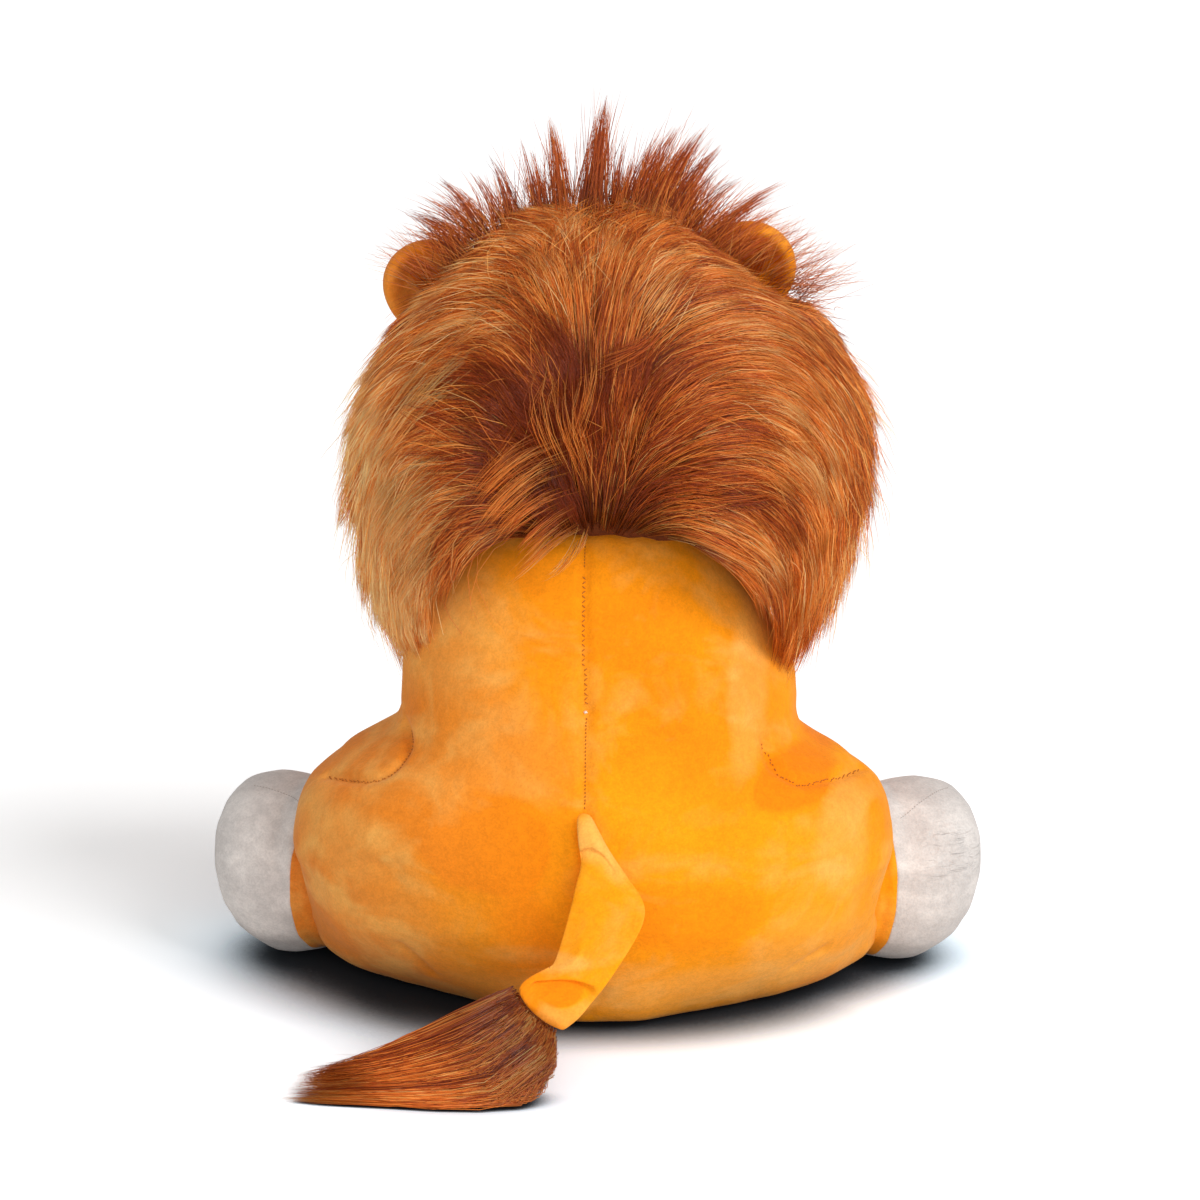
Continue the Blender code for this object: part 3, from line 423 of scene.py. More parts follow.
def copied(name, *nodes):
    """A loose copy of these solids in one object, with its doubles merged."""
    copies = []
    for node in nodes:
        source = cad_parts[node]
        copy = bpy.data.objects.new(node + "_copy", source.data.copy())
        bpy.context.scene.collection.objects.link(copy)
        copy.data.materials.clear()
        copies.append(copy)
    piece = alone(merged(name, copies))
    bpy.ops.object.mode_set(mode="EDIT")
    bpy.ops.mesh.select_all(action="SELECT")
    bpy.ops.mesh.remove_doubles(threshold=1e-5)
    bpy.ops.object.mode_set(mode="OBJECT")
    return piece


def ball(centre, radius):
    bpy.ops.mesh.primitive_uv_sphere_add(segments=32, ring_count=16, radius=radius, location=centre)
    piece = bpy.context.object
    bpy.ops.object.transform_apply(location=True, rotation=True, scale=True)
    return piece


def applied(piece, kind, **settings):
    """Adds a modifier with these settings and applies it."""
    alone(piece)
    modifier = piece.modifiers.new(kind.lower(), kind)
    for name, value in settings.items():
        setattr(modifier, name, value)
    bpy.ops.object.modifier_apply(modifier=modifier.name)
    return piece


def wrapped(piece, voxel, smooth=6, factor=0.5):
    """One even skin round all that the piece holds."""
    applied(piece, "REMESH", mode="VOXEL", voxel_size=voxel, adaptivity=0.0)
    return applied(piece, "SMOOTH", factor=factor, iterations=smooth)


def points_of(piece):
    places = np.empty(len(piece.data.vertices) * 3)
    piece.data.vertices.foreach_get("co", places)
    return places.reshape(-1, 3)


def move_points(piece, places):
    piece.data.vertices.foreach_set("co", np.ascontiguousarray(places, dtype=np.float32).ravel())
    piece.data.update()
    return piece


def outward_of(piece):
    """The outward direction at every point."""
    normals = np.empty(len(piece.data.vertices) * 3)
    piece.data.vertices.foreach_get("normal", normals)
    return normals.reshape(-1, 3)


def near_line(places, line):
    """How far each place is from a line of points, in metres."""
    best = np.full(len(places), 1e9)
    for start, end in zip(line[:-1], line[1:]):
        a, b = np.array(start), np.array(end)
        share = np.clip((places - a) @ (b - a) / max((b - a) @ (b - a), 1e-12), 0.0, 1.0)
        best = np.minimum(best, np.linalg.norm(places - a - share[:, None] * (b - a), axis=1))
    return best


def swelled(piece, held, pressure=4.0, cap=6.0 * MM):
    """Blows the skin up as stuffing does. held is 1 where the cloth can't move."""
    before = points_of(piece).copy()
    group = piece.vertex_groups.new(name="held")
    for index, weight in enumerate(held):
        if weight > 0.01:
            group.add([index], float(weight), "REPLACE")
    alone(piece)
    cloth = piece.modifiers.new("stuffing", "CLOTH")
    cloth.settings.use_pressure = True
    cloth.settings.uniform_pressure_force = pressure
    cloth.settings.effector_weights.gravity = 0.0
    cloth.settings.vertex_group_mass = "held"
    for frame_number in range(1, SIM_FRAMES + 1):
        bpy.context.scene.frame_set(frame_number)
    bpy.ops.object.modifier_apply(modifier=cloth.name)
    piece.vertex_groups.clear()
    bpy.context.scene.frame_set(1)
    moved = points_of(piece) - before
    length = np.linalg.norm(moved, axis=1, keepdims=True)
    move_points(piece, before + moved * np.minimum(1.0, cap / np.maximum(length, 1e-9)))
    return piece


def finished(piece, finish, body, slot, *nodes, padded=None):
    """Gives a piece its cloth and hangs it on its body in place of the solids."""
    piece.data.materials.clear()
    piece.data.materials.append(finish.material)
    alone(piece)
    bpy.ops.object.shade_smooth()
    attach(piece, body)
    if nodes:
        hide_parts(*nodes)
    print(piece.name, len(piece.data.polygons), "faces on", body)
    return piece


# %% [markdown]
# ## The body
# The body is one pear of golden cloth: back panels, haunches, belly and seat. It is stuffed
# firmly, so it is swelled from the wrapped solids. The centre back seam and the two curved
# haunch seams are held, which leaves them as shallow valleys, and the seat stays flat.

# %% Seam lines on the body
def on_skin(skin, flat_points, side=-1):
    """Puts (x, z) points on the back of a skin as the camera sees them, or on its front for side 1."""
    found = []
    tree = BVHTree.FromObject(skin, bpy.context.evaluated_depsgraph_get())
    for x, z in flat_points:
        middle = Vector((x * MM, 0.0, z * MM))
        start = camera.location if side < 0 else middle + Vector((0, 0.5, 0))
        hit = tree.ray_cast(start, (middle - start).normalized())[0]
        if hit:
            found.append(hit)
    return found


def curve_through(points, step=1.0 * MM):
    """Evenly spaced places on a smooth curve through the points."""
    points = np.array([list(p) for p in points])
    padded = np.vstack([2 * points[0] - points[1], points, 2 * points[-1] - points[-2]])
    places = []
    for i in range(1, len(padded) - 2):
        p0, p1, p2, p3 = padded[i - 1:i + 3]
        for t in np.linspace(0.0, 1.0, 24, endpoint=False):
            places.append(0.5 * (2 * p1 + (p2 - p0) * t + (2 * p0 - 5 * p1 + 4 * p2 - p3) * t ** 2
                                 + (3 * p1 - p0 - 3 * p2 + p3) * t ** 3))
    places.append(points[-1])
    places = np.array(places)
    along = np.concatenate([[0.0], np.cumsum(np.linalg.norm(np.diff(places, axis=0), axis=1))])
    wanted = np.arange(0.0, along[-1], step)
    return np.stack([np.interp(wanted, along, places[:, k]) for k in range(3)], axis=1)


# Across and up in mm, where the camera's line of sight meets the middle plane of the toy
BACK_SEAM = [(-2.7, 206), (-3.1, 192.7), (-3.6, 174), (-3.6, 151), (-3.2, 127), (-2.8, 121.5), (-3.2, 98.7),
             (-3.3, 72.4), (-2.8, 50.7), (-1, 16.7), (1, -12)]
HAUNCH_SEAM_LEFT = [(-129.8, 93.5), (-122, 90.3), (-113, 88.9), (-103.8, 88.1), (-94.6, 90.6), (-87.7, 96.8),
                    (-83.6, 106), (-85, 114.5)]
HAUNCH_SEAM_RIGHT = [(78.5, 109), (80.9, 102), (84.6, 94.9), (90.1, 90.7), (96.9, 88.9), (106, 90.9), (115, 93.4),
                     (123, 97.3)]
HIPS = [Vector((side * 97 * MM, 4 * MM, 47 * MM)) for side in (-1, 1)]
SHOULDERS = [Vector((side * 55 * MM, 43 * MM, 152 * MM)) for side in (-1, 1)]

# %% The body's outline
# Half widths at each height, to the left and to the right, in mm
BODY_HEIGHTS = [14, 29, 43, 57, 72, 86, 98, 105, 111, 116, 121, 128, 140, 155]
BODY_LEFT = [124, 130, 132, 133, 134, 132.5, 128, 123, 116, 105, 93, 86, 85, 85]
BODY_RIGHT = [128, 134, 135, 136, 136, 134.5, 131, 126.5, 119, 108, 98, 93, 92, 90]
# How far back the seat touches the floor, at each distance from the middle
SEAT_ASIDE = [0, 25, 50, 70, 90, 110, 125]
SEAT_BACK_LEFT = [-88, -83, -63, -51, -41, -30, -16]
SEAT_BACK_RIGHT = [-88, -86, -73, -63, -53, -36, -18]


def soft_noise(p, size, seed):
    """Smooth noise without a table: a few sine waves in random directions."""
    waves = np.random.default_rng(seed).normal(size=(6, 3)) / size
    phase = np.random.default_rng(seed + 1).random(6) * 6.28
    return np.sin(p @ waves.T + phase).mean(axis=-1) * 1.6


def eased(value, low, high):
    """0 below low, 1 above high, and smooth between them; low may be the larger one."""
    share = np.clip((value - low) / (high - low), 0.0, 1.0)
    return share * share * (3 - 2 * share)


def widened_to(skin, heights, left, right):
    """Stretches each height of the skin sideways to these half widths."""
    places = points_of(skin) / MM
    levels = np.arange(0.0, 200.0, 3.0)
    fade = eased(levels, 172, 150) * eased(levels, 2, 12)
    for side, widths in ((-1, left), (1, right)):
        mine = places[:, 0] * side > 0
        x, z = np.abs(places[mine, 0]), places[mine, 2]
        reach = np.array([x[np.abs(z - level) < 3.0].max() for level in levels])
        ratio = 1 + (np.interp(levels, heights, widths) / reach - 1) * fade
        share = np.clip(x / np.interp(z, levels, reach), 0.0, 1.0) ** 1.6
        places[mine, 0] *= 1 + (np.interp(z, levels, ratio) - 1) * share
    return move_points(skin, places * MM)


def seated(skin):
    """Draws the underside forward to its line on the floor, and lets the cloth ripple."""
    places = points_of(skin) / MM
    x, y, z = places.T
    low = z < 12
    bins = np.arange(0.0, 130.0, 5.0)
    now = np.array([y[low & (np.abs(np.abs(x) - b) < 5)].min() for b in bins])
    rest = 40.0
    ratios = [(rest - np.interp(bins, SEAT_ASIDE, line)) / (rest - now) - 1
              for line in (SEAT_BACK_LEFT, SEAT_BACK_RIGHT)]
    left, right = (np.interp(np.abs(x), bins, ratio) for ratio in ratios)
    ratio = (left + (right - left) * eased(x, -30, 30)) * eased(z, 52, 0)
    places[:, 1] = np.where(y < rest, rest - (rest - y) * (1 + ratio), y)
    ripple = soft_noise(places, 17.0, 41) * 0.8 + soft_noise(places, 7.0, 43) * 0.3 * eased(x, 30, -60)
    ripple = ripple * eased(z, 3, 20)
    return move_points(skin, places * MM + outward_of(skin) * (ripple * MM)[:, None])


# %% The body's skin
BODY_NODES = ["back_panel_left", "back_panel_right", "belly_panel", "seat_panel", "body_stuffing"]


def make_body_skin():
    skin = copied("body_skin", *BODY_NODES)
    fillers = [ball(hip, 37 * MM) for hip in HIPS] + [ball(shoulder, 22 * MM) for shoulder in SHOULDERS]
    skin = merged("body_skin", [skin, *fillers])
    wrapped(skin, 4.0 * MM, smooth=8)
    seated(widened_to(skin, BODY_HEIGHTS, BODY_LEFT, BODY_RIGHT))
    applied(skin, "SMOOTH", factor=0.5, iterations=2)
    places = points_of(skin)
    seams = [on_skin(skin, line) for line in (BACK_SEAM, HAUNCH_SEAM_LEFT, HAUNCH_SEAM_RIGHT)]
    held = np.zeros(len(places))
    for line in seams:
        held = np.maximum(held, 0.9 * np.exp(-(near_line(places, line) / (5 * MM)) ** 2))
    held = np.maximum(held, (places[:, 2] < 4 * MM) * 1.0)
    held = np.maximum(held, (places[:, 2] > 214 * MM) * 1.0)
    swelled(skin, held, 3.0, 4 * MM)
    applied(skin, "SUBSURF", levels=1, render_levels=1)
    return skin


def pressed(skin, line, depth, width):
    """Pulls the skin in along a line, as thread does."""
    places = points_of(skin)
    share = np.exp(-(near_line(places, line) / width) ** 2)
    return move_points(skin, places - outward_of(skin) * (share * depth)[:, None])


body_skin = make_body_skin()
back_seam = curve_through(on_skin(body_skin, BACK_SEAM))
haunch_seams = [curve_through(on_skin(body_skin, line)) for line in (HAUNCH_SEAM_LEFT, HAUNCH_SEAM_RIGHT)]
pressed(body_skin, back_seam[::4], 1.5 * MM, 2.4 * MM)
pucker = on_skin(body_skin, [(-3.2, 121.5), (-3.2, 121.3)])
pressed(body_skin, pucker, 1.8 * MM, 5.0 * MM)
for seam in haunch_seams:
    pressed(body_skin, seam[::4], 2.0 * MM, 2.6 * MM)
CREASES = [
    ([(-109, 46.5), (-103, 48.6), (-96.7, 45.7), (-88, 46.8)], 1.5, 2.4),
    ([(-107, 40), (-98, 41), (-89, 39)], 0.9, 2.4),
    ([(-89, 8), (-82, 2), (-74, -6)], 1.8, 3.0), ([(94, 0), (101, 5), (109, 10)], 1.4, 3.0),
    ([(-1, -26), (2, -20), (4, -12)], 1.5, 3.0), ([(-85.5, 115), (-83.4, 109.8), (-83.9, 102)], 2.0, 2.6),
    ([(80, 108), (79, 100), (83, 93)], 1.0, 2.6), ([(2, 64), (9, 60), (14, 52)], 1.0, 4.0),
]
for line, depth, width in CREASES:
    places = on_skin(body_skin, line)
    if len(places) > 1:
        pressed(body_skin, curve_through(places)[::3], depth * MM, width * MM)
finished(body_skin, golden_plush, "torso", "golden_plush", *BODY_NODES, "pellet_bag", padded=0.9)

# %% [markdown]
# ## The legs
# Each leg is a stuffed golden tube with a paw of another cloth. One skin is swelled over both,
# then cut at the paw's seam, and the two rims are drawn in so that the seam shows as a valley.

# %% Legs and paws
def cut_at(piece, point, normal, keep_far):
    """Cuts a closed skin with a plane, keeps one side and closes the cut."""
    alone(piece)
    bpy.ops.object.mode_set(mode="EDIT")
    bpy.ops.mesh.select_all(action="SELECT")
    bpy.ops.mesh.bisect(plane_co=point, plane_no=normal, use_fill=True,
                        clear_inner=keep_far, clear_outer=not keep_far, threshold=1e-6)
    bpy.ops.object.mode_set(mode="OBJECT")
    return piece


def twin_of(piece, name):
    """The same piece mirrored to the other side, with its own mesh."""
    twin = piece.copy()
    twin.data = piece.data.copy()
    twin.name = twin.data.name = name
    bpy.context.scene.collection.objects.link(twin)
    places = points_of(twin)
    places[:, 0] *= -1
    move_points(twin, places)
    alone(twin)
    bpy.ops.object.mode_set(mode="EDIT")
    bpy.ops.mesh.select_all(action="SELECT")
    bpy.ops.mesh.flip_normals()
    bpy.ops.object.mode_set(mode="OBJECT")
    return twin


def drawn_at(piece, point, normal, depth, width, centre_line):
    """Draws the skin in towards a line where a seam runs round it."""
    places = points_of(piece)
    away = (places - np.array(point)) @ np.array(normal)
    share = np.exp(-(away / width) ** 2)
    a, b = (np.array(p) for p in centre_line)
    along = (places - a) @ (b - a) / ((b - a) @ (b - a))
    inward = a + along[:, None] * (b - a) - places
    inward /= np.maximum(np.linalg.norm(inward, axis=1, keepdims=True), 1e-6)
    inward[:, 2] *= places[:, 2] > 3 * MM
    return move_points(piece, places + inward * (share * depth)[:, None])


def make_leg(kind, seam_point, seam_normal, axis, side="right"):
    """A leg and its paw on the right side."""
    nodes = [f"{kind}_leg_cover_{side}", f"{kind}_leg_stuffing_{side}"]
    paw_node = f"{kind}_paw_cover_{side}"
    whole = wrapped(copied(f"{kind}_leg_skin_{side}", *nodes, paw_node), 3.4 * MM, smooth=5)
    places = points_of(whole)
    held = (places[:, 2] < 2.5 * MM) * 1.0
    seam = (places - np.array(seam_point)) @ np.array(seam_normal)
    held = np.maximum(held, np.exp(-(seam / (3 * MM)) ** 2))
    swelled(whole, held, 3.0, 2.5 * MM)
    applied(whole, "SUBSURF", levels=1, render_levels=1)
    drawn_at(whole, seam_point, seam_normal, 1.4 * MM, 2.2 * MM, axis)
    return whole, nodes, paw_node


def parted(whole, name, point, normal):
    """Cuts a leg at its paw's seam and gives back both parts."""
    paw = whole.copy()
    paw.data = whole.data.copy()
    paw.name = paw.data.name = name
    bpy.context.scene.collection.objects.link(paw)
    return cut_at(whole, point, normal, False), cut_at(paw, point, normal, True)


def rounded_paw(paw, side, share):
    """Draws the far end of a hind paw in, most at the sole, so that it leans outwards."""
    places = points_of(paw)
    mirror = np.array([side, 1.0, 1.0])
    heading = np.array(HIND_HEADING) * mirror
    from_seam = (places - np.array(hind_seam) * mirror) @ heading
    keep = np.interp(places[:, 2] / MM, PAW_HEIGHTS, PAW_SHARES) * share
    pull = np.maximum(from_seam, 0.0) * (1 - keep)
    return move_points(paw, places - heading * pull[:, None])


def tucked_hip(leg):
    """Makes the hidden ball of a hind leg smaller, so that it stays under the body's skin."""
    places = points_of(leg)
    offset = places - np.array(hip)
    behind = eased(offset @ np.array(HIND_HEADING), 8 * MM, -8 * MM)
    return move_points(leg, places - offset * (0.16 * behind)[:, None])


PAW_HEIGHTS = [0, 6, 12, 20, 30, 45, 60, 72, 80, 86]
PAW_SHARES = [0.60, 0.70, 0.77, 0.85, 0.91, 0.97, 1.0, 1.0, 0.98, 0.92]
HIND_HEADING = Vector((math.cos(math.radians(22)), math.sin(math.radians(22)), 0.0))


def dress_legs(kind, heading, seam_point, axis, paw_finish, paw_slot):
    leg, nodes, paw_node = make_leg(kind, seam_point, heading, axis)
    if kind == "hind":
        tucked_hip(leg)
    left_leg = twin_of(leg, f"{kind}_leg_skin_left")
    mirror = np.array([-1.0, 1.0, 1.0])
    right_cut, left_cut = (seam_point, heading), (Vector(mirror * seam_point), Vector(mirror * heading))
    if kind == "hind":
        right_cut = (seam_point + heading * RIGHT_SEAM_OUT, heading)
        left_way = left_cut[1] + Vector((0, 0, LEFT_SEAM_TILT))
        left_cut = (left_cut[0] + left_cut[1] * LEFT_SEAM_OUT, left_way.normalized())
    leg, paw = parted(leg, f"{kind}_paw_skin_right", *right_cut)
    left_leg, left_paw = parted(left_leg, f"{kind}_paw_skin_left", *left_cut)
    if kind == "hind":
        rounded_paw(paw, 1, 1.0)
        rounded_paw(left_paw, -1, 0.92)
    for piece, other, finish, slot, names in ((leg, left_leg, golden_plush, "golden_plush", nodes),
                                              (paw, left_paw, paw_finish, paw_slot, [paw_node])):
        finished(piece, finish, f"{kind}_leg_right", slot, *names, padded=0.8)
        mirrored = [n.replace("right", "left") for n in names]
        finished(other, finish, f"{kind}_leg_left", slot, *mirrored, padded=0.8)


# The paws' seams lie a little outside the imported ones, and the left one leans
RIGHT_SEAM_OUT, LEFT_SEAM_OUT = 5 * MM, 3 * MM
LEFT_SEAM_TILT = 0.05
hip, shoulder = HIPS[1], SHOULDERS[1]
hind_seam = hip + HIND_HEADING * 25 * MM
dress_legs("hind", HIND_HEADING, hind_seam, (hip, hip + HIND_HEADING), grey_plush, "grey_plush")
way = Vector((-8 * MM, 88 * MM, -152 * MM))
front_seam = shoulder + way * 0.70
dress_legs("front", way.normalized(), front_seam, (shoulder, shoulder + way), grey_plush, "grey_plush")

# %% [markdown]
# ## The tail
# The tail is a flat, barely filled tube of the same plush. It leaves the back seam, folds over
# to one side and hangs down behind. We lay ring after ring between its two edges, as read off
# the toy, and let the middle of each ring stand a little proud.

# %% The tail's sleeve
TAIL_EDGES = [
    ((-2.2, -113.6, 110.0), (3.2, -113.6, 110.4)),
    ((-2.4, -115.0, 106.0), (6.0, -115.0, 105.4)),
    ((-1.6, -118.0, 97.5), (11.0, -118.0, 96.0)),
    ((0.3, -121.0, 91.0), (16.0, -121.0, 89.6)),
    ((-2.2, -126.0, 84.0), (22.9, -126.0, 81.4)),
    ((-4.4, -131.0, 74.6), (28.4, -131.0, 75.6)),
    ((-7.0, -138.0, 65.0), (27.0, -138.0, 68.8)),
    ((-10.2, -146.0, 56.0), (19.6, -146.0, 58.6)),
    ((-11.6, -150.0, 54.0), (12.6, -152.0, 49.0)),
    ((-20.3, -156.0, 52.6), (4.6, -157.0, 39.6)),
    ((-28.6, -160.0, 47.4), (-7.4, -160.0, 26.2)),
]
TAIL_HALF_THICK = [2.0, 3.2, 3.8, 4.0, 4.4, 4.6, 4.6, 4.2, 4.0, 4.2, 3.4]
TAIL_AROUND = 20


def rings_to_skin(name, rings):
    """A closed skin through rings of the same number of places."""
    count = len(rings[0])
    places = [p for ring in rings for p in ring]
    faces = []
    for row in range(len(rings) - 1):
        for k in range(count):
            a, b = row * count + k, row * count + (k + 1) % count
            faces.append((a, b, b + count, a + count))
    faces.append(tuple(range(count))[::-1])
    faces.append(tuple(range(len(places) - count, len(places))))
    mesh = bpy.data.meshes.new(name)
    mesh.from_pydata([tuple(p) for p in places], [], faces)
    piece = bpy.data.objects.new(name, mesh)
    bpy.context.scene.collection.objects.link(piece)
    alone(piece)
    bpy.ops.object.mode_set(mode="EDIT")
    bpy.ops.mesh.select_all(action="SELECT")
    bpy.ops.mesh.normals_make_consistent(inside=False)
    bpy.ops.object.mode_set(mode="OBJECT")
    return piece


# Folds on the tail's outer side: places across and up, how proud or deep, and how wide
TAIL_FOLDS = [
    ([(-14, 54), (-7, 55), (-2, 58), (1, 63)], 4.2, 1.8),
    ([(-17, 47), (-9, 47.5), (-1, 46), (6, 43)], -6.0, 3.0),
    ([(-6, 61), (-4, 67), (-1, 74)], -1.6, 2.6), ([(-3, 91), (3, 95.5), (9, 92), (15, 85)], -2.4, 1.6),
    ([(-1, 99), (4, 101), (7, 98)], 1.2, 3.0), ([(4, 84), (9, 78), (12, 68), (8, 58)], -1.2, 3.4),
    ([(-17, 42), (-9, 36), (-6, 31)], 1.0, 2.2),
]


def make_tail():
    rings = []
    for (left, right), half in zip(TAIL_EDGES, TAIL_HALF_THICK):
        left, right = Vector(left) * MM, Vector(right) * MM
        middle, across = (left + right) / 2, (right - left) / 2
        out = Vector((0.0, -0.86, -0.5))
        rings.append([
            middle + across * math.cos(a) + out * half * MM * math.copysign(abs(math.sin(a)) ** 0.8, math.sin(a))
            for a in (2 * math.pi * k / TAIL_AROUND for k in range(TAIL_AROUND))
        ])
    tail = rings_to_skin("tail_skin", rings)
    applied(tail, "SUBSURF", levels=3, render_levels=3)
    places = points_of(tail)
    flat = places * np.array([1.0, 0.0, 1.0])
    facing = np.clip(outward_of(tail) @ np.array([0.0, -0.86, -0.5]) * 2.0, 0.0, 1.0)
    lift = np.zeros(len(places))
    for line, height, width in TAIL_FOLDS:
        curve = curve_through([Vector((x, 0.0, z)) * MM for x, z in line])
        lift += height * np.exp(-(near_line(flat, curve[::3]) / (width * MM)) ** 2)
    move_points(tail, places + np.array([0.0, -0.86, -0.5]) * (lift * facing * MM)[:, None])
    return tail


tail_skin = make_tail()
# Patches on the tail: the deep one in the hollow of the lower fold is painted shade, the thin pale one along that
# fold's ridge a painted highlight; the two at the root are only paler.
TAIL_PATCHES_AND_PAINTED_FOLD_LIGHT = [(6, 101, 12, 9, 1.2), (16, 92, 6, 8, 0.7), (-8, 56, 12, 3, 0.8), (-6, 46, 9, 5, -0.9)]
tail_plush = golden_finish("tail_plush", TAIL_PATCHES_AND_PAINTED_FOLD_LIGHT)
finished(tail_skin, tail_plush, "tail", "golden_plush", "tail_sleeve", padded=0.2)

# %% [markdown]
# ## The head and its face
# From behind, fur hides the head, but the toy is seen from every side. The face is a plain one
# of our own: a golden head, a pale muzzle in two soft lobes, a dark sewn nose, a stitched
# mouth and two glossy safety eyes set a little into the cloth.

# %% The head's skin
HEAD_NODES = ["head_stuffing", "face_panel", "head_back_panel"]
EYES = [Vector((side * 31 * MM, 0, 280 * MM)) for side in (-1, 1)]


def make_head_skin():
    skin = copied("head_skin", *HEAD_NODES)
    skin = merged("head_skin", [skin, ball((0, 10 * MM, 268 * MM), 60 * MM)])
    wrapped(skin, 4.0 * MM, smooth=8)
    places = points_of(skin)
    held = (places[:, 2] < 226 * MM) * 1.0
    swelled(skin, held, 3.0, 2.5 * MM)
    applied(skin, "SUBSURF", levels=1, render_levels=1)
    return skin


head_skin = make_head_skin()
eye_places = on_skin(head_skin, [(eye.x / MM, eye.z / MM) for eye in EYES], 1)
for eye in eye_places:
    pressed(head_skin, [eye, eye + Vector((0, 0, 1e-5))], 3.0 * MM, 11.0 * MM)
forehead_seam = curve_through(on_skin(head_skin, [(0, 335), (0, 322), (0, 305), (0, 285), (0, 262)], 1))
pressed(head_skin, forehead_seam[::4], 0.9 * MM, 2.4 * MM)
finished(head_skin, golden_plush, "head", "golden_plush", *HEAD_NODES, padded=0.9)

# %% The muzzle, nose and mouth
def make_muzzle():
    """Two soft lobes with a furrow between them, from the wrapped solid."""
    muzzle = wrapped(copied("muzzle_skin", "muzzle"), 2.6 * MM, smooth=4)
    applied(muzzle, "SUBSURF", levels=1, render_levels=1)
    places = points_of(muzzle)
    x, y, z = places.T / MM
    front = np.clip((y - 84) / 26, 0, 1)
    furrow = np.exp(-(x / 4.0) ** 2) * front * np.clip((256 - z) / 10, 0, 1)
    lobes = np.exp(-((np.abs(x) - 15) / 11) ** 2 - ((z - 240) / 12) ** 2) * front
    places = places + outward_of(muzzle) * ((lobes * 3.2 - furrow * 3.4) * MM)[:, None]
    return move_points(muzzle, places)


muzzle_skin = make_muzzle()
finished(muzzle_skin, pale_plush, "head", "pale_plush", "muzzle", padded=0.8)


def nose_finish():
    finish = Finish("nose_velvet", roughness=0.6, Sheen_Weight=0.3, Specular_IOR_Level=0.3)
    grain = finish.noise(900.0, 2.0)
    brown = finish.mix(grain, rgb(48, 26, 18), rgb(84, 48, 34))
    return finish.feed(Base_Color=brown, Normal=finish.emboss(grain, 0.0002))


def make_nose():
    nose = wrapped(copied("nose_pad", "nose"), 1.2 * MM, smooth=3)
    places = points_of(nose)
    low, high = places[:, 2].min(), places[:, 2].max()
    share = (places[:, 2] - low) / (high - low)
    places[:, 0] *= 0.72 + 0.36 * share
    return move_points(nose, places)


nose_pad = make_nose()
finished(nose_pad, nose_finish(), "head", "nose_plush", "nose", padded=0.9)


def thread_finish(name, dark, light):
    finish = Finish(name, roughness=0.7)
    twist = finish.noise(1500.0, 1.0)
    return finish.feed(Base_Color=finish.mix(twist, dark, light))


dark_thread = thread_finish("dark_thread", rgb(60, 34, 24), rgb(92, 56, 40))


def thread_along(name, line, radius, sides=6):
    """A thin closed thread along a line of places."""
    line = [Vector(p) for p in line]
    rings = []
    for k, place in enumerate(line):
        ahead = (line[min(k + 1, len(line) - 1)] - line[max(k - 1, 0)]).normalized()
        side = ahead.cross(Vector((0.3, 0.2, 1.0))).normalized()
        up = side.cross(ahead)
        small = 0.6 if k in (0, len(line) - 1) else 1.0
        rings.append([place + (side * math.cos(a) + up * math.sin(a)) * radius * small
                      for a in (2 * math.pi * j / sides for j in range(sides))])
    return rings_to_skin(name, rings)


MOUTH = [[(0, 246), (0, 241), (0, 236)], [(0, 236), (4, 232.5), (9, 231), (14.5, 232), (19, 235.5)],
         [(0, 236), (-4, 232.5), (-9, 231), (-14.5, 232), (-19, 235.5)]]
mouth_threads = []
for number, part in enumerate(MOUTH):
    line = curve_through(on_skin(muzzle_skin, part, 1), 1.2 * MM)
    mouth_threads.append(thread_along(f"mouth_{number}", line, 0.55 * MM))
mouth = merged("mouth_stitch", mouth_threads)
finished(mouth, dark_thread, "head", "nose_plush")

# %% The eyes
def eye_finish():
    finish = Finish("eye_plastic", roughness=0.08, Coat_Weight=0.6, Coat_Roughness=0.03)
    deep = finish.noise(120.0, 1.0)
    return finish.feed(Base_Color=finish.mix(deep, rgb(22, 12, 8), rgb(36, 20, 12)))


eye_black = eye_finish()
for side in ("left", "right"):
    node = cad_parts[f"eye_{side}"]
    node.data.materials.clear()
    node.data.materials.append(eye_black.material)

# %% [markdown]
# ## The ears
# Each ear is a deep cup of golden plush with a thick rolled rim, open to the back, where the
# lining shows; its darker orange is painted shade for the inside of the cup. A disc is inset, its
# rim rolled, and its middle pushed in.

# %% Ears
EAR_CENTRES = {"left": Vector((-71, 7, 316)) * MM, "right": Vector((68.5, 7, 325)) * MM}
EAR_LEAN = {"left": math.radians(-38), "right": math.radians(34)}
EAR_HALF = (21.0 * MM, 23.0 * MM)


def ear_shape(name, side, hollow, size, offset):
    """A cup from rings: from the middle of its front, over the rim, to the middle of its hollow."""
    profile = [(0.0, 1.0), (0.35, 1.0), (0.65, 0.85), (0.86, 0.5), (0.97, 0.1), (1.0, -0.4), (0.97, -0.9),
               (0.88, -1.2), (0.76, -1.15), (0.66, -0.75), (0.56, -0.2), (0.32, 0.16), (0.0, 0.25)]
    tilt = EAR_LEAN[side]
    up = Vector((math.sin(tilt), 0.0, math.cos(tilt)))
    across = Vector((math.cos(tilt), 0.0, -math.sin(tilt)))
    back = Vector((0.0, -1.0, -0.15)).normalized()
    rings = []
    for radius, depth in profile:
        radius = max(radius, 0.02)
        ring = []
        for k in range(28):
            a = 2 * math.pi * k / 28
            wide = across * math.cos(a) * EAR_HALF[0] * size * radius
            tall = up * math.sin(a) * EAR_HALF[1] * size * radius
            curl = 5.0 * MM * (radius ** 2) * abs(math.sin(a)) ** 2
            ring.append(EAR_CENTRES[side] + wide + tall - back * (depth * hollow) + back * (offset + curl))
        rings.append(ring)
    return rings_to_skin(name, rings)


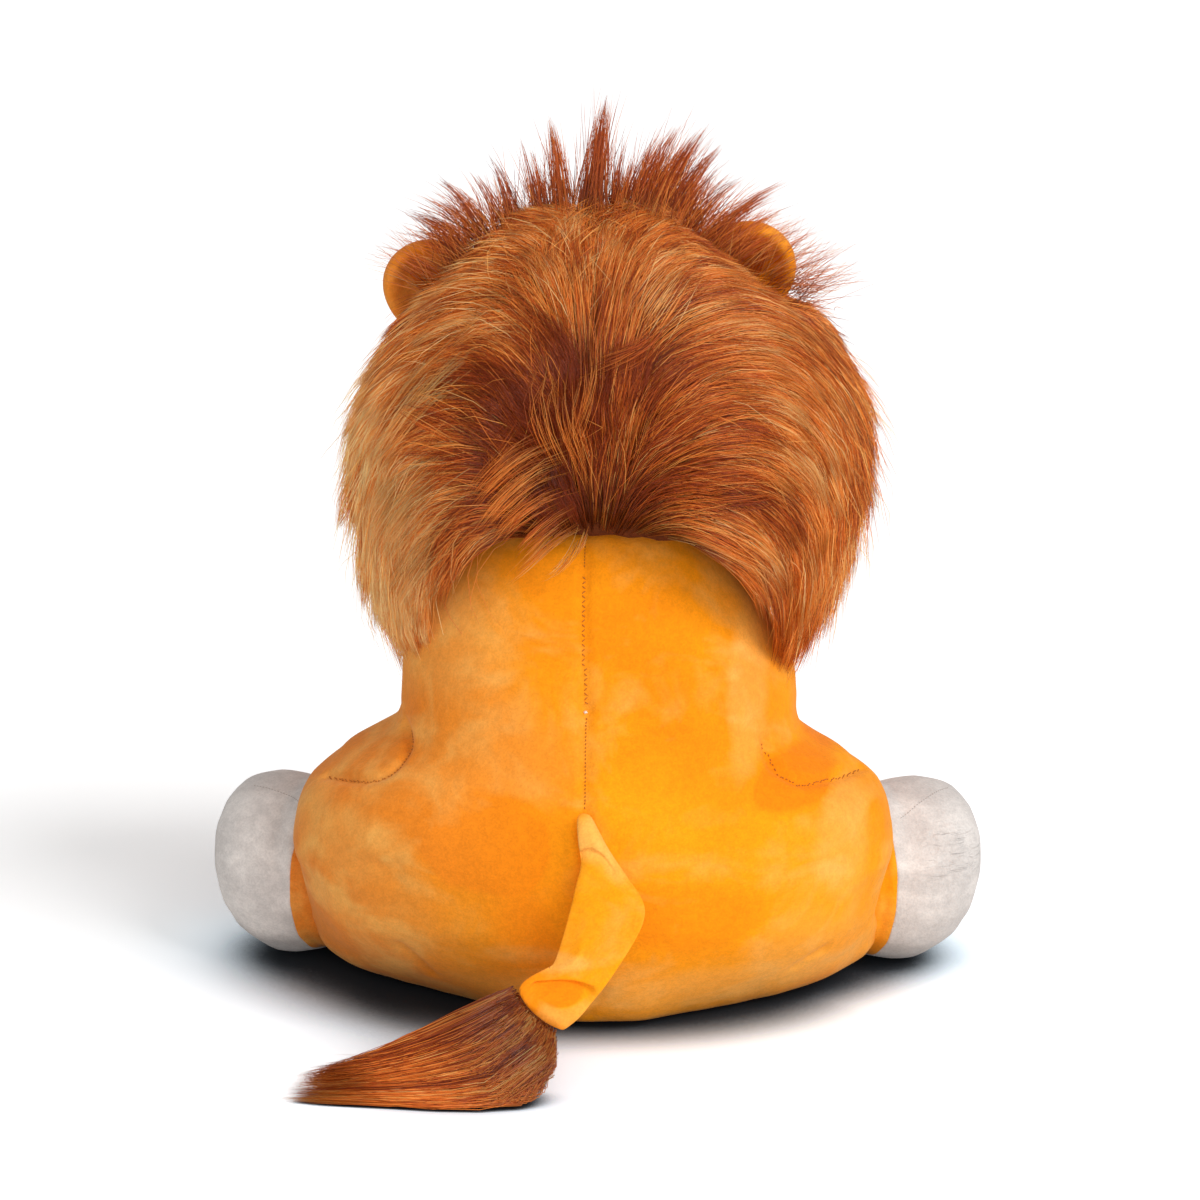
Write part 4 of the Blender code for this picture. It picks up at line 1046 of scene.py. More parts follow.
def lining_finish():
    finish = Finish("ear_lining", roughness=0.85, Sheen_Weight=0.2, Specular_IOR_Level=0.25)
    brushed = nap(finish, 60.0, 0.8)
    # The lining is a real part; its darker orange is painted shade for the hollow of the cup.
    orange = finish.mix(brushed, rgb(196, 92, 10), rgb(226, 122, 28))
    tinted, bump = pile(finish, orange)
    return finish.feed(Base_Color=tinted, Normal=bump)


lining_with_painted_shade = lining_finish()
for side in ("left", "right"):
    ear = ear_shape(f"ear_{side}_skin", side, 8.0 * MM, 1.0, 0.0)
    applied(ear, "SUBSURF", levels=2, render_levels=2)
    finished(ear, golden_plush, f"ear_{side}", "golden_plush", f"ear_back_{side}", padded=0.3)
    lining = ear_shape(f"ear_{side}_lining", side, 1.4 * MM, 0.72, -1.0 * MM)
    applied(lining, "SUBSURF", levels=2, render_levels=2)
    finished(lining, lining_with_painted_shade, f"ear_{side}", "ear_lining", f"ear_lining_{side}", padded=0.2)

# %% [markdown]
# ## The mane: where the hair lies
# The mane is one long-haired fur. Two things shape it: the room that the combed hair fills, a
# dome over the head with two lobes that hang over the shoulders, and the way it is combed. It
# rises along a parting at the back, falls over to both sides, and stands up on the crown.

# %% The dome of the mane
MANE_MIDDLE = (7.0, -12.0, 250.0)
DOME_BACK, DOME_FRONT, DOME_HIGH = 91.0, 86.0, 101.0
DOME_POWER = 2.2
# Half widths to the left and to the right at each height, as the toy's outline gives them
DOME_HEIGHTS = [125, 140, 158, 180, 205, 235, 262, 300, 335, 360]
DOME_LEFT = [70, 82, 92, 103, 108, 112, 112, 106, 104, 104]
DOME_RIGHT = [62, 74, 86, 97, 107, 114, 114, 111, 114, 112]
# The hair leaves room for the ears here
EAR_GAPS = [((-66.0, -8.0, 343.0), 18.0, 0.24), ((72.0, -8.0, 340.0), 25.0, 0.30)]
RANDOM = np.random.default_rng(7)


def dome(p):
    """How far out each place is, 1 on the outside of the combed hair. Places in millimetres."""
    x, y, z = p[..., 0] - MANE_MIDDLE[0], p[..., 1] - MANE_MIDDLE[1], p[..., 2]
    low = eased(z, 235.0, 120.0)
    wide = np.where(x < 0, np.interp(z, DOME_HEIGHTS, DOME_LEFT), np.interp(z, DOME_HEIGHTS, DOME_RIGHT))
    parting = 0.20 * np.exp(-((x + 5.0) / 34.0) ** 2) * eased(z, 300.0, 250.0)
    back = DOME_BACK * (1 - 0.42 * low) * (1 - parting)
    front = DOME_FRONT * (1 - 0.45 * low)
    deep = np.where(y < 0, back, front)
    rise = np.maximum(z - MANE_MIDDLE[2], 0.0) / DOME_HIGH
    total = np.abs(x / wide) ** DOME_POWER + np.abs(y / deep) ** DOME_POWER + rise ** DOME_POWER
    value = total ** (1.0 / DOME_POWER)
    for gap, size, depth in EAR_GAPS:
        value = value * (1 + depth * np.exp(-np.sum((p - np.array(gap)) ** 2, axis=-1) / size ** 2))
    return value


def dome_out(p):
    """The outward direction and the height over the dome, in millimetres."""
    value = dome(p)
    slope = np.stack([(dome(p + e) - value) / 0.5 for e in np.eye(3) * 0.5], axis=-1)
    size = np.maximum(np.linalg.norm(slope, axis=-1), 1e-6)
    return slope / size[..., None], (value - 1.0) / size


print("dome value at the crown", round(float(dome(np.array([7.0, -12.0, 356.0]))), 3))

# %% [markdown]
# ## The comb
# A small chart says which way the hair runs on the back: one row for a height, one column for a
# distance from the parting, and an angle above the level line. Between the entries we
# interpolate. At the front the hair runs outwards from the face, and gravity bends all of it.

# %% The comb's chart
COMB_HEIGHTS = [150, 200, 224, 239, 271, 306, 338, 360]
COMB_ASIDE = [0, 13, 25, 42, 64, 85, 102, 119]
COMB_ANGLES = np.array([
    [-80, -80, -80, -80, -80, -84, -92, -100],
    [-60, -56, -52, -50, -54, -66, -82, -94],
    [88, 55, 12, -28, -42, -56, -72, -86],
    [90, 62, 28, -12, -34, -50, -64, -78],
    [90, 74, 54, 24, -4, -30, -54, -76],
    [90, 70, 46, 24, 6, -20, -46, -70],
    [90, 80, 62, 42, 22, 2, -22, -44],
    [90, 84, 76, 64, 46, 28, 8, -8],
], float)
PARTING_X = 3.0
FACE_MIDDLE = np.array([0.0, 0.0, 264.0])


def comb_angle(x, z):
    """The chart read between its rows and columns, in radians."""
    aside = np.clip(np.abs(x - PARTING_X), 0, COMB_ASIDE[-1] - 1e-3)
    height = np.clip(z, COMB_HEIGHTS[0], COMB_HEIGHTS[-1] - 1e-3)
    col = np.searchsorted(COMB_ASIDE, aside, side="right") - 1
    row = np.searchsorted(COMB_HEIGHTS, height, side="right") - 1
    a0, h0 = np.array(COMB_ASIDE)[col], np.array(COMB_HEIGHTS)[row]
    s = (aside - a0) / (np.array(COMB_ASIDE)[col + 1] - a0)
    t = (height - h0) / (np.array(COMB_HEIGHTS)[row + 1] - h0)
    c = COMB_ANGLES
    lower = c[row, col] * (1 - s) + c[row, col + 1] * s
    upper = c[row + 1, col] * (1 - s) + c[row + 1, col + 1] * s
    angle = lower * (1 - t) + upper * t
    left = (x < PARTING_X) * np.exp(-((aside - 62) / 34) ** 2) * eased(z, 255, 290)
    return np.radians(angle - 18.0 * left)


def combed(p, out, sway):
    """The way the hair runs at each place, along the surface. sway turns it, in radians."""
    side = np.where(p[:, 0] < PARTING_X, -1.0, 1.0)
    angle = comb_angle(p[:, 0], p[:, 2]) + sway
    back_way = np.stack([np.cos(angle) * side, np.zeros(len(p)), np.sin(angle)], axis=1)
    ring = p - FACE_MIDDLE
    ring[:, 1] = 0.0
    ring /= np.maximum(np.linalg.norm(ring, axis=1, keepdims=True), 1e-6)
    ring[:, 2] -= 0.5
    turned = np.stack([ring[:, 0] * np.cos(sway) - ring[:, 2] * np.sin(sway), -0.35 * np.ones(len(p)),
                       ring[:, 0] * np.sin(sway) + ring[:, 2] * np.cos(sway)], axis=1)
    front = eased(p[:, 1], -5.0, 30.0)[:, None]
    way = back_way * (1 - front) + turned * front
    way -= out * np.sum(way * out, axis=1, keepdims=True)
    return way / np.maximum(np.linalg.norm(way, axis=1, keepdims=True), 1e-6)


# %% [markdown]
# ## The backing cloth
# The hair grows from a knitted backing. It is a dome 11 mm inside the hair, closed below by a
# dark band, and it is what we would see between the locks: a deep brown felt.

# %% The mane's backing
HAIR_THICK = 11.0


def backing_finish():
    finish = Finish("mane_backing", roughness=0.95, Specular_IOR_Level=0.1)
    grain = finish.noise(500.0, 2.0)
    brown = finish.mix(grain, rgb(70, 30, 12), rgb(112, 54, 24))
    return finish.feed(Base_Color=brown, Normal=finish.emboss(grain, 0.0006))


def rim_height(p):
    """The lowest place where hair still grows: high at the neck, lower at the sides."""
    aside = eased(np.abs(p[..., 0] - PARTING_X), 34.0, 95.0)
    return 223.0 - 25.0 * aside - 22.0 * aside * eased(p[..., 1], -20.0, 15.0)


def make_backing():
    bpy.ops.mesh.primitive_ico_sphere_add(subdivisions=6, radius=1.0)
    backing = bpy.context.object
    backing.name = backing.data.name = "mane_backing"
    ways = points_of(backing)
    middle = np.array([MANE_MIDDLE[0], -6.0, 245.0])
    near, far = np.zeros(len(ways)), np.full(len(ways), 140.0)
    for _ in range(24):
        half = (near + far) / 2
        places = middle + ways * half[:, None]
        outside = (dome_out(places)[1] > -HAIR_THICK) | (places[:, 2] < rim_height(places) - 1.0)
        far, near = np.where(outside, half, far), np.where(outside, near, half)
    move_points(backing, (middle + ways * near[:, None]) * MM)
    return backing


mane_backing = make_backing()
finished(mane_backing, backing_finish(), "head", "russet_fur")

# %% [markdown]
# ## Hairs
# A hair is a tube with three sides that tapers to a point. It is followed step by step from
# its root: along the comb, and up to the outside of the dome. Hairs of one lock lean together,
# more so towards their tips, which is what makes fur look like fur and not like grass.

# %% Growing hairs
HAIR_RINGS = 4
HEAD_MIDDLE, HEAD_HALF = np.array([0.0, 14.5, 268.0]), np.array([83.0, 80.5, 72.0])


def roots_on(piece, count, choose):
    """Random places on a skin, even by area, where choose says so. In millimetres."""
    piece.data.calc_loop_triangles()
    corners = np.empty(len(piece.data.loop_triangles) * 3, np.int32)
    piece.data.loop_triangles.foreach_get("vertices", corners)
    corner = points_of(piece)[corners.reshape(-1, 3)] / MM
    middle = corner.mean(axis=1)
    area = np.linalg.norm(np.cross(corner[:, 1] - corner[:, 0], corner[:, 2] - corner[:, 0]), axis=1)
    area = area * choose(middle)
    pick = RANDOM.choice(len(area), size=count, p=area / area.sum())
    u, v = RANDOM.random(count), RANDOM.random(count)
    u, v = np.where(u + v > 1, 1 - u, u), np.where(u + v > 1, 1 - v, v)
    c = corner[pick]
    return c[:, 0] + (c[:, 1] - c[:, 0]) * u[:, None] + (c[:, 2] - c[:, 0]) * v[:, None]


def grown(roots, length, sway, top, rise=0.75):
    """Follows each hair from its root. top is how high over the dome its tip lies."""
    places = [roots]
    p = roots.copy()
    start = dome_out(p)[1]
    crown = eased(roots[:, 2], 322.0, 352.0)
    for k in range(1, HAIR_RINGS + 1):
        out, height = dome_out(p)
        way = combed(p, out, sway * (0.4 + 0.6 * k / HAIR_RINGS))
        wanted = start + (top - start) * (k / HAIR_RINGS) ** rise
        stride = length / HAIR_RINGS
        lift = np.clip((wanted - height) / stride, -0.9, 0.9)
        free = eased(p[:, 2], 160.0, 140.0)
        lift = lift * (1 - 0.7 * free)
        way = way * np.sqrt(1 - lift ** 2)[:, None] + out * lift[:, None]
        stand = out * 0.75 + way * 0.5 + np.array([0.0, 0.0, 0.35])
        stand /= np.linalg.norm(stand, axis=1, keepdims=True)
        way = way * (1 - crown * 0.75)[:, None] + stand * (crown * 0.75)[:, None]
        way /= np.linalg.norm(way, axis=1, keepdims=True)
        p = p + way * stride[:, None]
        places.append(p)
    return np.stack(places, axis=1)


def in_locks(paths, roots, size, tightness):
    """Draws each hair towards the middle hair of its lock, more so towards its tip."""
    count = max(len(roots) // size, 2)
    leaders = RANDOM.choice(len(roots), count, replace=False)
    tree = kdtree.KDTree(count)
    for number, leader in enumerate(leaders):
        tree.insert(roots[leader], number)
    tree.balance()
    lock = np.array([tree.find(root)[1] for root in roots])
    lead = paths[leaders[lock]]
    offset = (roots - roots[leaders[lock]])[:, None, :]
    share = (np.linspace(0, 1, HAIR_RINGS + 1) ** 1.4)[None, :, None] * tightness[:, None, None]
    size_of_lock = np.median(np.linalg.norm(offset[:, 0], axis=1)) * 2.0
    rim = np.clip(np.linalg.norm(offset[:, 0], axis=1) / size_of_lock, 0.0, 1.2)
    return paths * (1 - share) + (lead + offset * 0.22) * share, lock, rim


def hair_mesh(name, paths, radius, shade, out):
    """One mesh of tapered three-sided tubes. shade picks each hair's colour column."""
    count, rings = len(paths), HAIR_RINGS
    ahead = np.gradient(paths, axis=1)
    ahead /= np.maximum(np.linalg.norm(ahead, axis=2, keepdims=True), 1e-9)
    side = np.cross(ahead, out[:, None, :])
    side /= np.maximum(np.linalg.norm(side, axis=2, keepdims=True), 1e-9)
    up = np.cross(side, ahead)
    thick = np.array([0.85, 1.0, 0.9, 0.62])[None, :] * radius[:, None]
    turns = 2 * np.pi * np.arange(3) / 3 + np.pi / 2
    cosine, sine = (wave(turns)[None, None, :, None] for wave in (np.cos, np.sin))
    around = side[:, :rings, None, :] * cosine + up[:, :rings, None, :] * sine
    ring = paths[:, :rings, None, :] + thick[:, :, None, None] * around
    places = np.concatenate([ring.reshape(count, rings * 3, 3), paths[:, rings:, :]], axis=1) * MM
    quads = [(r * 3 + j, r * 3 + (j + 1) % 3, r * 3 + 3 + (j + 1) % 3, r * 3 + 3 + j)
             for r in range(rings - 1) for j in range(3)]
    tip = [(rings * 3 - 3 + j, rings * 3 - 3 + (j + 1) % 3, rings * 3) for j in range(3)]
    faces = quads + tip + [(2, 1, 0)]
    loops = np.array([v for face in faces for v in face])
    starts = np.cumsum([0] + [len(face) for face in faces[:-1]])
    per_hair, corners = rings * 3 + 1, len(loops)
    all_loops = (loops[None, :] + np.arange(count)[:, None] * per_hair).ravel()
    all_starts = (starts[None, :] + np.arange(count)[:, None] * corners).ravel()
    mesh = bpy.data.meshes.new(name)
    mesh.vertices.add(count * per_hair)
    mesh.vertices.foreach_set("co", places.astype(np.float32).ravel())
    mesh.loops.add(count * corners)
    mesh.loops.foreach_set("vertex_index", all_loops.astype(np.int32))
    mesh.polygons.add(count * len(faces))
    mesh.polygons.foreach_set("loop_start", all_starts.astype(np.int32))
    mesh.update(calc_edges=True)
    layer = mesh.uv_layers.new(name="OFBake")
    along = np.array([min(v // 3, rings) / rings for v in loops])
    across = np.array([(v % 3) - 1 if v < rings * 3 else 0 for v in loops]) * 0.004
    uv = np.stack([np.clip(shade, 0.01, 0.99)[:, None] + across[None, :],
                   np.broadcast_to(0.02 + 0.96 * along, (count, corners))], axis=-1)
    layer.data.foreach_set("uv", uv.astype(np.float32).ravel())
    mesh.validate()
    piece = bpy.data.objects.new(name, mesh)
    bpy.context.scene.collection.objects.link(piece)
    return piece


# %% The hair's finish
SHADES = [(0.0, rgb(132, 48, 10)), (0.25, rgb(204, 92, 26)), (0.5, rgb(246, 140, 50)),
          (0.75, rgb(255, 184, 96)), (1.0, rgb(255, 218, 150))]
HAIR_GLOW = 0.08


def hair_finish():
    finish = Finish("russet_fur", roughness=0.36, Specular_IOR_Level=0.42, Emission_Strength=HAIR_GLOW)
    places = finish.add("ShaderNodeUVMap", {"uv_map": "OFBake"}, {})
    shade, along, _ = finish.axes(places)
    colour = finish.shades(shade, SHADES)
    # Painted shade: each hair darkens towards its root, for the shade deep inside the fur.
    deep = along.ramp(0.0, 0.7, 0.42, 1.0)
    tinted = finish.dimmed(colour, deep)
    return finish.feed(Base_Color=tinted, Emission_Color=tinted)


russet_fur = hair_finish()

# %% [markdown]
# ## Hair by region
# The mane is planted in regions, so that each piece stays light: back, ruff and crown, left and
# right. Each piece stands for the solid of its region and rides on the head.

# %% Planting the mane
def outside_face(p):
    """1 where a place is outside the head, so that the face stays bare."""
    inside = np.sum(((p - HEAD_MIDDLE) / (HEAD_HALF - 2.0)) ** 2, axis=-1)
    return (inside > 1.0) * (p[..., 2] > rim_height(p) + 0.5)


def plant(name, count, region, nodes, length=52.0, lock_size=42, thick=0.155):
    roots = roots_on(mane_backing, count, lambda p: outside_face(p) * region(p))
    out, _ = dome_out(roots)
    x, y, z = roots.T
    aside = np.abs(x - PARTING_X)
    low_side = eased(aside, 55, 100) * eased(z, 265, 205)
    left = eased(-x, -5, 30)
    edge = eased(aside, 70, 108)
    messy = 0.10 + 0.16 * left + 0.10 * edge
    sway = (0.07 + 0.06 * left) * RANDOM.normal(size=count) + messy * soft_noise(roots, 14.0, 3)
    loose = RANDOM.random(count) < 0.012 + 0.05 * left + 0.03 * edge
    sway = sway + loose * RANDOM.normal(size=count) * 0.4
    long = (length + 8.0 * low_side) * (1 - (0.36 + 0.14 * low_side) * RANDOM.random(count) ** 1.5) * 1.12
    top = RANDOM.uniform(-4.0, 2.0, count) + edge * RANDOM.uniform(0, 1, count) ** 2 * 11.0
    top = top + (1.5 + 3.0 * edge) * soft_noise(roots, 7.0, 77)
    top = top + loose * RANDOM.uniform(0, 6, count) * (1 + edge)
    paths = grown(roots, long, sway, top)
    tightness = 0.58 + 0.20 * soft_noise(roots, 30.0, 9) + 0.18 * left + 0.10 * edge
    tightness = np.clip(tightness, 0.1, 0.92) * ~loose
    paths, lock, rim = in_locks(paths, roots, lock_size, tightness)
    lock_shade = RANDOM.normal(size=lock.max() + 1)[lock]
    # Painted shade in the hollow along the parting.
    groove_painted_shade = np.exp(-((x - PARTING_X) / 24) ** 2) * eased(z, 302, 262) * (y < 0)
    # Painted shade in a hollow of the mane just left of the parting.
    left_hollow_painted_shade = np.exp(-((x + 18) / 16) ** 2 - ((z - 250) / 22) ** 2) * (y < 0)
    # Painted highlight: the left side of the mane is paler and more golden.
    left_painted_highlight = eased(-x, 28, 68) * eased(z, 325, 285) * (y < 15)
    # Painted highlight on the upper right of the mane.
    right_painted_highlight = np.exp(-((x - 62) / 30) ** 2 - ((z - 288) / 24) ** 2) * (y < 10)
    # Painted highlight and shade in bands that follow the comb's curves.
    arc_bands_painted_light = soft_noise(np.stack([aside * 0.5, z * 1.4 + aside * 0.3, y * 0.3], axis=1), 9.0, 31)
    shade = 0.50 + 0.13 * lock_shade + 0.22 * RANDOM.normal(size=count)
    shade = shade + 0.14 * soft_noise(roots, 38.0, 21) + 0.10 * arc_bands_painted_light
    low_right = eased(x, 50, 90) * eased(z, 230, 190)
    shade = shade - 0.50 * groove_painted_shade - 0.42 * left_hollow_painted_shade + 0.34 * left_painted_highlight + 0.18 * right_painted_highlight
    # Stray hairs are paler, as painted glints; the low right of the mane is darker.
    shade = shade + loose * 0.15 - 0.20 * low_right
    # Painted shade between locks: hairs at the edge of a lock are darker, less so where the left is painted
    # bright.
    shade = shade - 0.26 * rim ** 2 * (1 - 0.6 * left_painted_highlight)
    piece = hair_mesh(name, paths, thick * RANDOM.uniform(0.75, 1.25, count), shade, out)
    return finished(piece, russet_fur, "head", "russet_fur", *nodes)


def at_side(sign):
    return lambda p: (p[..., 0] - PARTING_X) * sign > 0


BACK_LIMIT, CROWN_FROM = -12.0, 322.0
for side, sign in (("left", -1), ("right", 1)):
    half = at_side(sign)
    back = lambda p, half=half: half(p) * (p[..., 1] < BACK_LIMIT) * (p[..., 2] < CROWN_FROM)
    ruff = lambda p, half=half: half(p) * (p[..., 1] >= BACK_LIMIT) * (p[..., 2] < CROWN_FROM)
    crown = lambda p, half=half: half(p) * (p[..., 2] >= CROWN_FROM)
    for layer in range(2):
        plant(f"mane_hair_back_{side}_{layer}", 8400, back, [f"mane_back_{side}"])
    plant(f"mane_hair_ruff_{side}", 8400, ruff, [f"mane_ruff_{side}"])
    plant(f"mane_hair_crown_{side}", 7600, crown, ["mane_crown"], length=36.0, lock_size=60)

# %% [markdown]
# ## The crest
# On top some locks stand up in spikes. Each is a small brush of hairs between a foot on the
# crown and a tip in the air, as read off the toy.

# %% Crest locks
CREST = [
    ((0, -8, 347), (6.9, 0, 403.5), 270, 3.8), ((-11.7, -8, 346), (-18.5, -2, 394), 150, 2.8),
    ((-23, -8, 346), (-31.5, 0, 382.5), 40, 1.8), ((-21, -8, 346), (-27, 0, 381), 40, 1.6),
    ((-19, -8, 346), (-23, 0, 372), 45, 2.4), ((-32, -8, 345), (-46, 0, 376), 40, 2.6),
    ((-35, -8, 343), (-43, 0, 371), 50, 3.0), ((-39, -8, 342), (-53, 0, 368), 50, 3.0),
    ((-46, -8, 339), (-69.5, 0, 365), 80, 4.0), ((-48, -8, 336), (-76, 0, 357), 70, 4.5),
    ((-51, -8, 331), (-83, -2, 350), 110, 5.0), ((-55, -8, 328), (-79, -4, 342), 90, 4.5),
    ((9, -8, 347), (15, 0, 384), 36, 1.6), ((12.6, -8, 347), (19, 0, 377), 50, 2.4),
    ((10, -8, 346), (13.5, 0, 370), 70, 3.4), ((16, -8, 344), (31, 0, 386), 90, 3.4),
    ((20, -8, 344), (38.6, 0, 390), 130, 4.0), ((24, -8, 343), (44, 0, 382), 150, 5.0),
    ((27, -8, 342), (51, 0, 389.5), 180, 4.6), ((30.6, -8, 340), (58.5, 0, 381), 150, 4.6),
    ((34, -8, 337), (55, 0, 369), 120, 5.0), ((38, -8, 335), (69, 0, 367), 90, 5.0),
    ((44, -8, 334), (89, 0, 366), 60, 2.6), ((44, -8, 330), (80, 0, 358), 80, 5.0),
    ((48.6, -8, 329), (87, 0, 352), 70, 5.0), ((55, -8, 327), (93.6, 0, 343), 60, 5.0),
    ((84, -10, 318), (106, -2, 316), 30, 5.0), ((88, -10, 309), (113, -4, 305), 30, 6.0),
    ((92, -10, 302), (118, -5, 292), 36, 6.0),
]
FUZZ_COUNT = 1500


def lock_paths(foot, tip, count, spread):
    """One brush of hairs from round its foot to its tip, a little bowed."""
    foot, tip = np.array(foot, float), np.array(tip, float)
    around = RANDOM.normal(size=(count, 3)) * spread * np.array([1.0, 1.5, 0.5])
    reach = RANDOM.uniform(0.45, 1.0, count) ** 0.7
    s = np.linspace(0, 1, HAIR_RINGS + 1)[None, :, None] * reach[:, None, None]
    root = foot + around
    bow = np.array([-np.sign(tip[0] - foot[0]) * 1.2, -1.0, 1.6]) * min(abs(tip[0] - foot[0]) / 12.0, 2.0)
    stray = (RANDOM.random(count) < 0.30)[:, None]
    end = tip + around * 0.16 + RANDOM.normal(size=(count, 3)) * (0.9 + 6.0 * stray)
    return root[:, None, :] * (1 - s) + end[:, None, :] * s + bow * (4 * s * (1 - s))


def fuzz_paths(count):
    """Short single hairs that stand up all along the crown."""
    x = RANDOM.uniform(-72.0, 94.0, count)
    ridge = MANE_MIDDLE[2] + DOME_HIGH * (1 - np.abs((x - MANE_MIDDLE[0]) / 118.0) ** 2.2) ** 0.45
    root = np.stack([x, RANDOM.uniform(-32.0, 24.0, count), ridge - 12.0], axis=1)
    root[:, 2] -= ((root[:, 1] + 10.0) / 34.0) ** 2 * 5.0
    lean = (x - 2.0) / 70.0 + RANDOM.normal(size=count) * 0.45 + 0.35 * soft_noise(root, 9.0, 51)
    way = np.stack([lean, RANDOM.normal(size=count) * 0.25, np.full(count, 0.9)], axis=1)
    way /= np.linalg.norm(way, axis=1, keepdims=True)
    long = RANDOM.uniform(18.0, 40.0, count)
    s = np.linspace(0, 1, HAIR_RINGS + 1)[None, :, None]
    droop = np.stack([lean * 2.0, np.zeros(count), -np.abs(lean) * 3.0], axis=1)
    return root[:, None, :] + way[:, None, :] * s * long[:, None, None] + droop[:, None, :] * s ** 2


def make_crest():
    paths = [lock_paths(*lock) for lock in CREST]
    shades = [0.20 + 0.09 * RANDOM.normal() + 0.14 * RANDOM.normal(size=len(path)) for path in paths]
    paths.append(fuzz_paths(FUZZ_COUNT))
    shades.append(0.34 + 0.18 * RANDOM.normal(size=FUZZ_COUNT))
    paths, shades = np.concatenate(paths), np.concatenate(shades)
    thick = np.full(len(paths), 0.15)
    thick[-FUZZ_COUNT:] = 0.10
    out = np.tile([0.0, -1.0, 0.2], (len(paths), 1))
    return hair_mesh("mane_hair_crest", paths, thick, shades, out)


finished(make_crest(), russet_fur, "head", "russet_fur", "mane_crown")

# %% Loose strands on the back
# Each: places across and up in mm, how many hairs, how wide, their shade, and how proud they lie
STRANDS = [
    ([(-6, 306), (-10, 290), (-8, 272), (-1, 254), (4, 238)], 20, 3.8, 0.50, 2.5),
    ([(-12, 300), (-19, 284), (-14, 264), (-5, 246)], 18, 4.0, 0.46, 2.5),
    ([(2, 312), (4, 296), (0, 278), (-6, 262)], 24, 4.0, 0.46, 2.5),
    ([(2, 298), (12, 303), (24, 308), (36, 316)], 36, 2.2, 0.22, 3.0),
    ([(-10, 268), (-26, 262), (-40, 250), (-50, 236)], 60, 3.4, 0.45, 3.0),
    ([(-6, 256), (-22, 252), (-36, 240), (-46, 226)], 60, 3.0, 0.50, 3.5),
    ([(-5, 246), (-18, 243), (-30, 234), (-38, 222)], 60, 2.6, 0.42, 3.5),
    ([(-3, 238), (-12, 234), (-22, 226), (-30, 216)], 40, 2.2, 0.36, 3.0),
    # The next two dark bunches lie in the hollow left of the parting: painted shade.
    ([(-14, 262), (-12, 248), (-6, 236), (-3, 226)], 90, 3.0, -0.15, 1.0),
    ([(-22, 254), (-20, 242), (-13, 232), (-8, 226)], 80, 3.0, -0.10, 1.0),
    ([(-3, 230), (-14, 224), (-24, 214), (-34, 204)], 34, 2.4, 0.55, 3.0),
    ([(-1, 228), (-5, 218), (-13, 208), (-20, 204)], 14, 1.2, 0.60, 3.0),
    ([(2, 230), (-1, 222), (-5, 214)], 12, 1.0, 0.55, 2.5),
    # The last three pale strands on the far left are painted highlight.
    ([(-50, 304), (-66, 290), (-82, 270), (-94, 246)], 60, 5.0, 0.72, 1.5),
    ([(-62, 252), (-78, 238), (-92, 214), (-98, 194)], 70, 6.0, 0.78, 1.5),
    ([(-56, 228), (-72, 212), (-84, 190), (-90, 170)], 60, 6.0, 0.72, 1.5),
]


def strand_paths(line, count, spread, proud):
    """Hairs that run along a line on the back of the mane, over the other hair."""
    marks = curve_through([Vector((x, 0.0, z)) for x, z in line], 1.0)
    start = RANDOM.uniform(0.0, 0.45, count)
    reach = RANDOM.uniform(0.7, 1.0, count) - start
    share = start[:, None] + reach[:, None] * np.linspace(0, 1, HAIR_RINGS + 1)
    around = RANDOM.normal(size=(count, 2)) * spread
    paths = np.zeros((count, HAIR_RINGS + 1, 3))
    for k, axis in ((0, 0), (2, 1)):
        middle = np.interp(share, np.linspace(0, 1, len(marks)), marks[:, k])
        paths[..., k] = middle + around[:, axis:axis + 1] * (1.1 - 0.5 * share)
    near, far = np.full(share.shape, -150.0), np.full(share.shape, -20.0)
    bow = np.sin(np.pi * np.linspace(0.1, 0.95, HAIR_RINGS + 1)) * 1.6 - 0.6
    lift = proud * bow[None, :] + RANDOM.normal(size=(count, 1))
    for _ in range(20):
        paths[..., 1] = (near + far) / 2
        outside = dome_out(paths)[1] > lift
        near, far = np.where(outside, paths[..., 1], near), np.where(outside, far, paths[..., 1])
    return paths


def make_strands():
    paths = [strand_paths(line, count, spread, proud) for line, count, spread, _, proud in STRANDS]
    shades = np.concatenate([shade + 0.12 * RANDOM.normal(size=count) for _, count, _, shade, _ in STRANDS])
    paths = np.concatenate(paths)
    out = np.tile([0.0, -1.0, 0.1], (len(paths), 1))
    return hair_mesh("mane_hair_strands", paths, np.full(len(paths), 0.13), shades, out)


finished(make_strands(), russet_fur, "head", "russet_fur")

# %% [markdown]
# ## The tuft of the tail
# The tail ends in a brush of the same long hair. It is sewn in along the sleeve's end, bellies
# down to the floor and sweeps off to the side, between an upper and a lower edge.

# %% Tuft
TUFT_UPPER = [(-27.6, -158, 47), (-41, -160, 41), (-54, -161, 34.5), (-75, -162, 24.5),
              (-100, -160, 13.5), (-124, -155, 5.5)]
TUFT_LOWER = [(-9.5, -158, 28), (-9, -162, 15), (-17, -163, 3.5), (-40, -169, 1.5),
              (-85, -171, 1.2), (-127, -171, 1.0)]


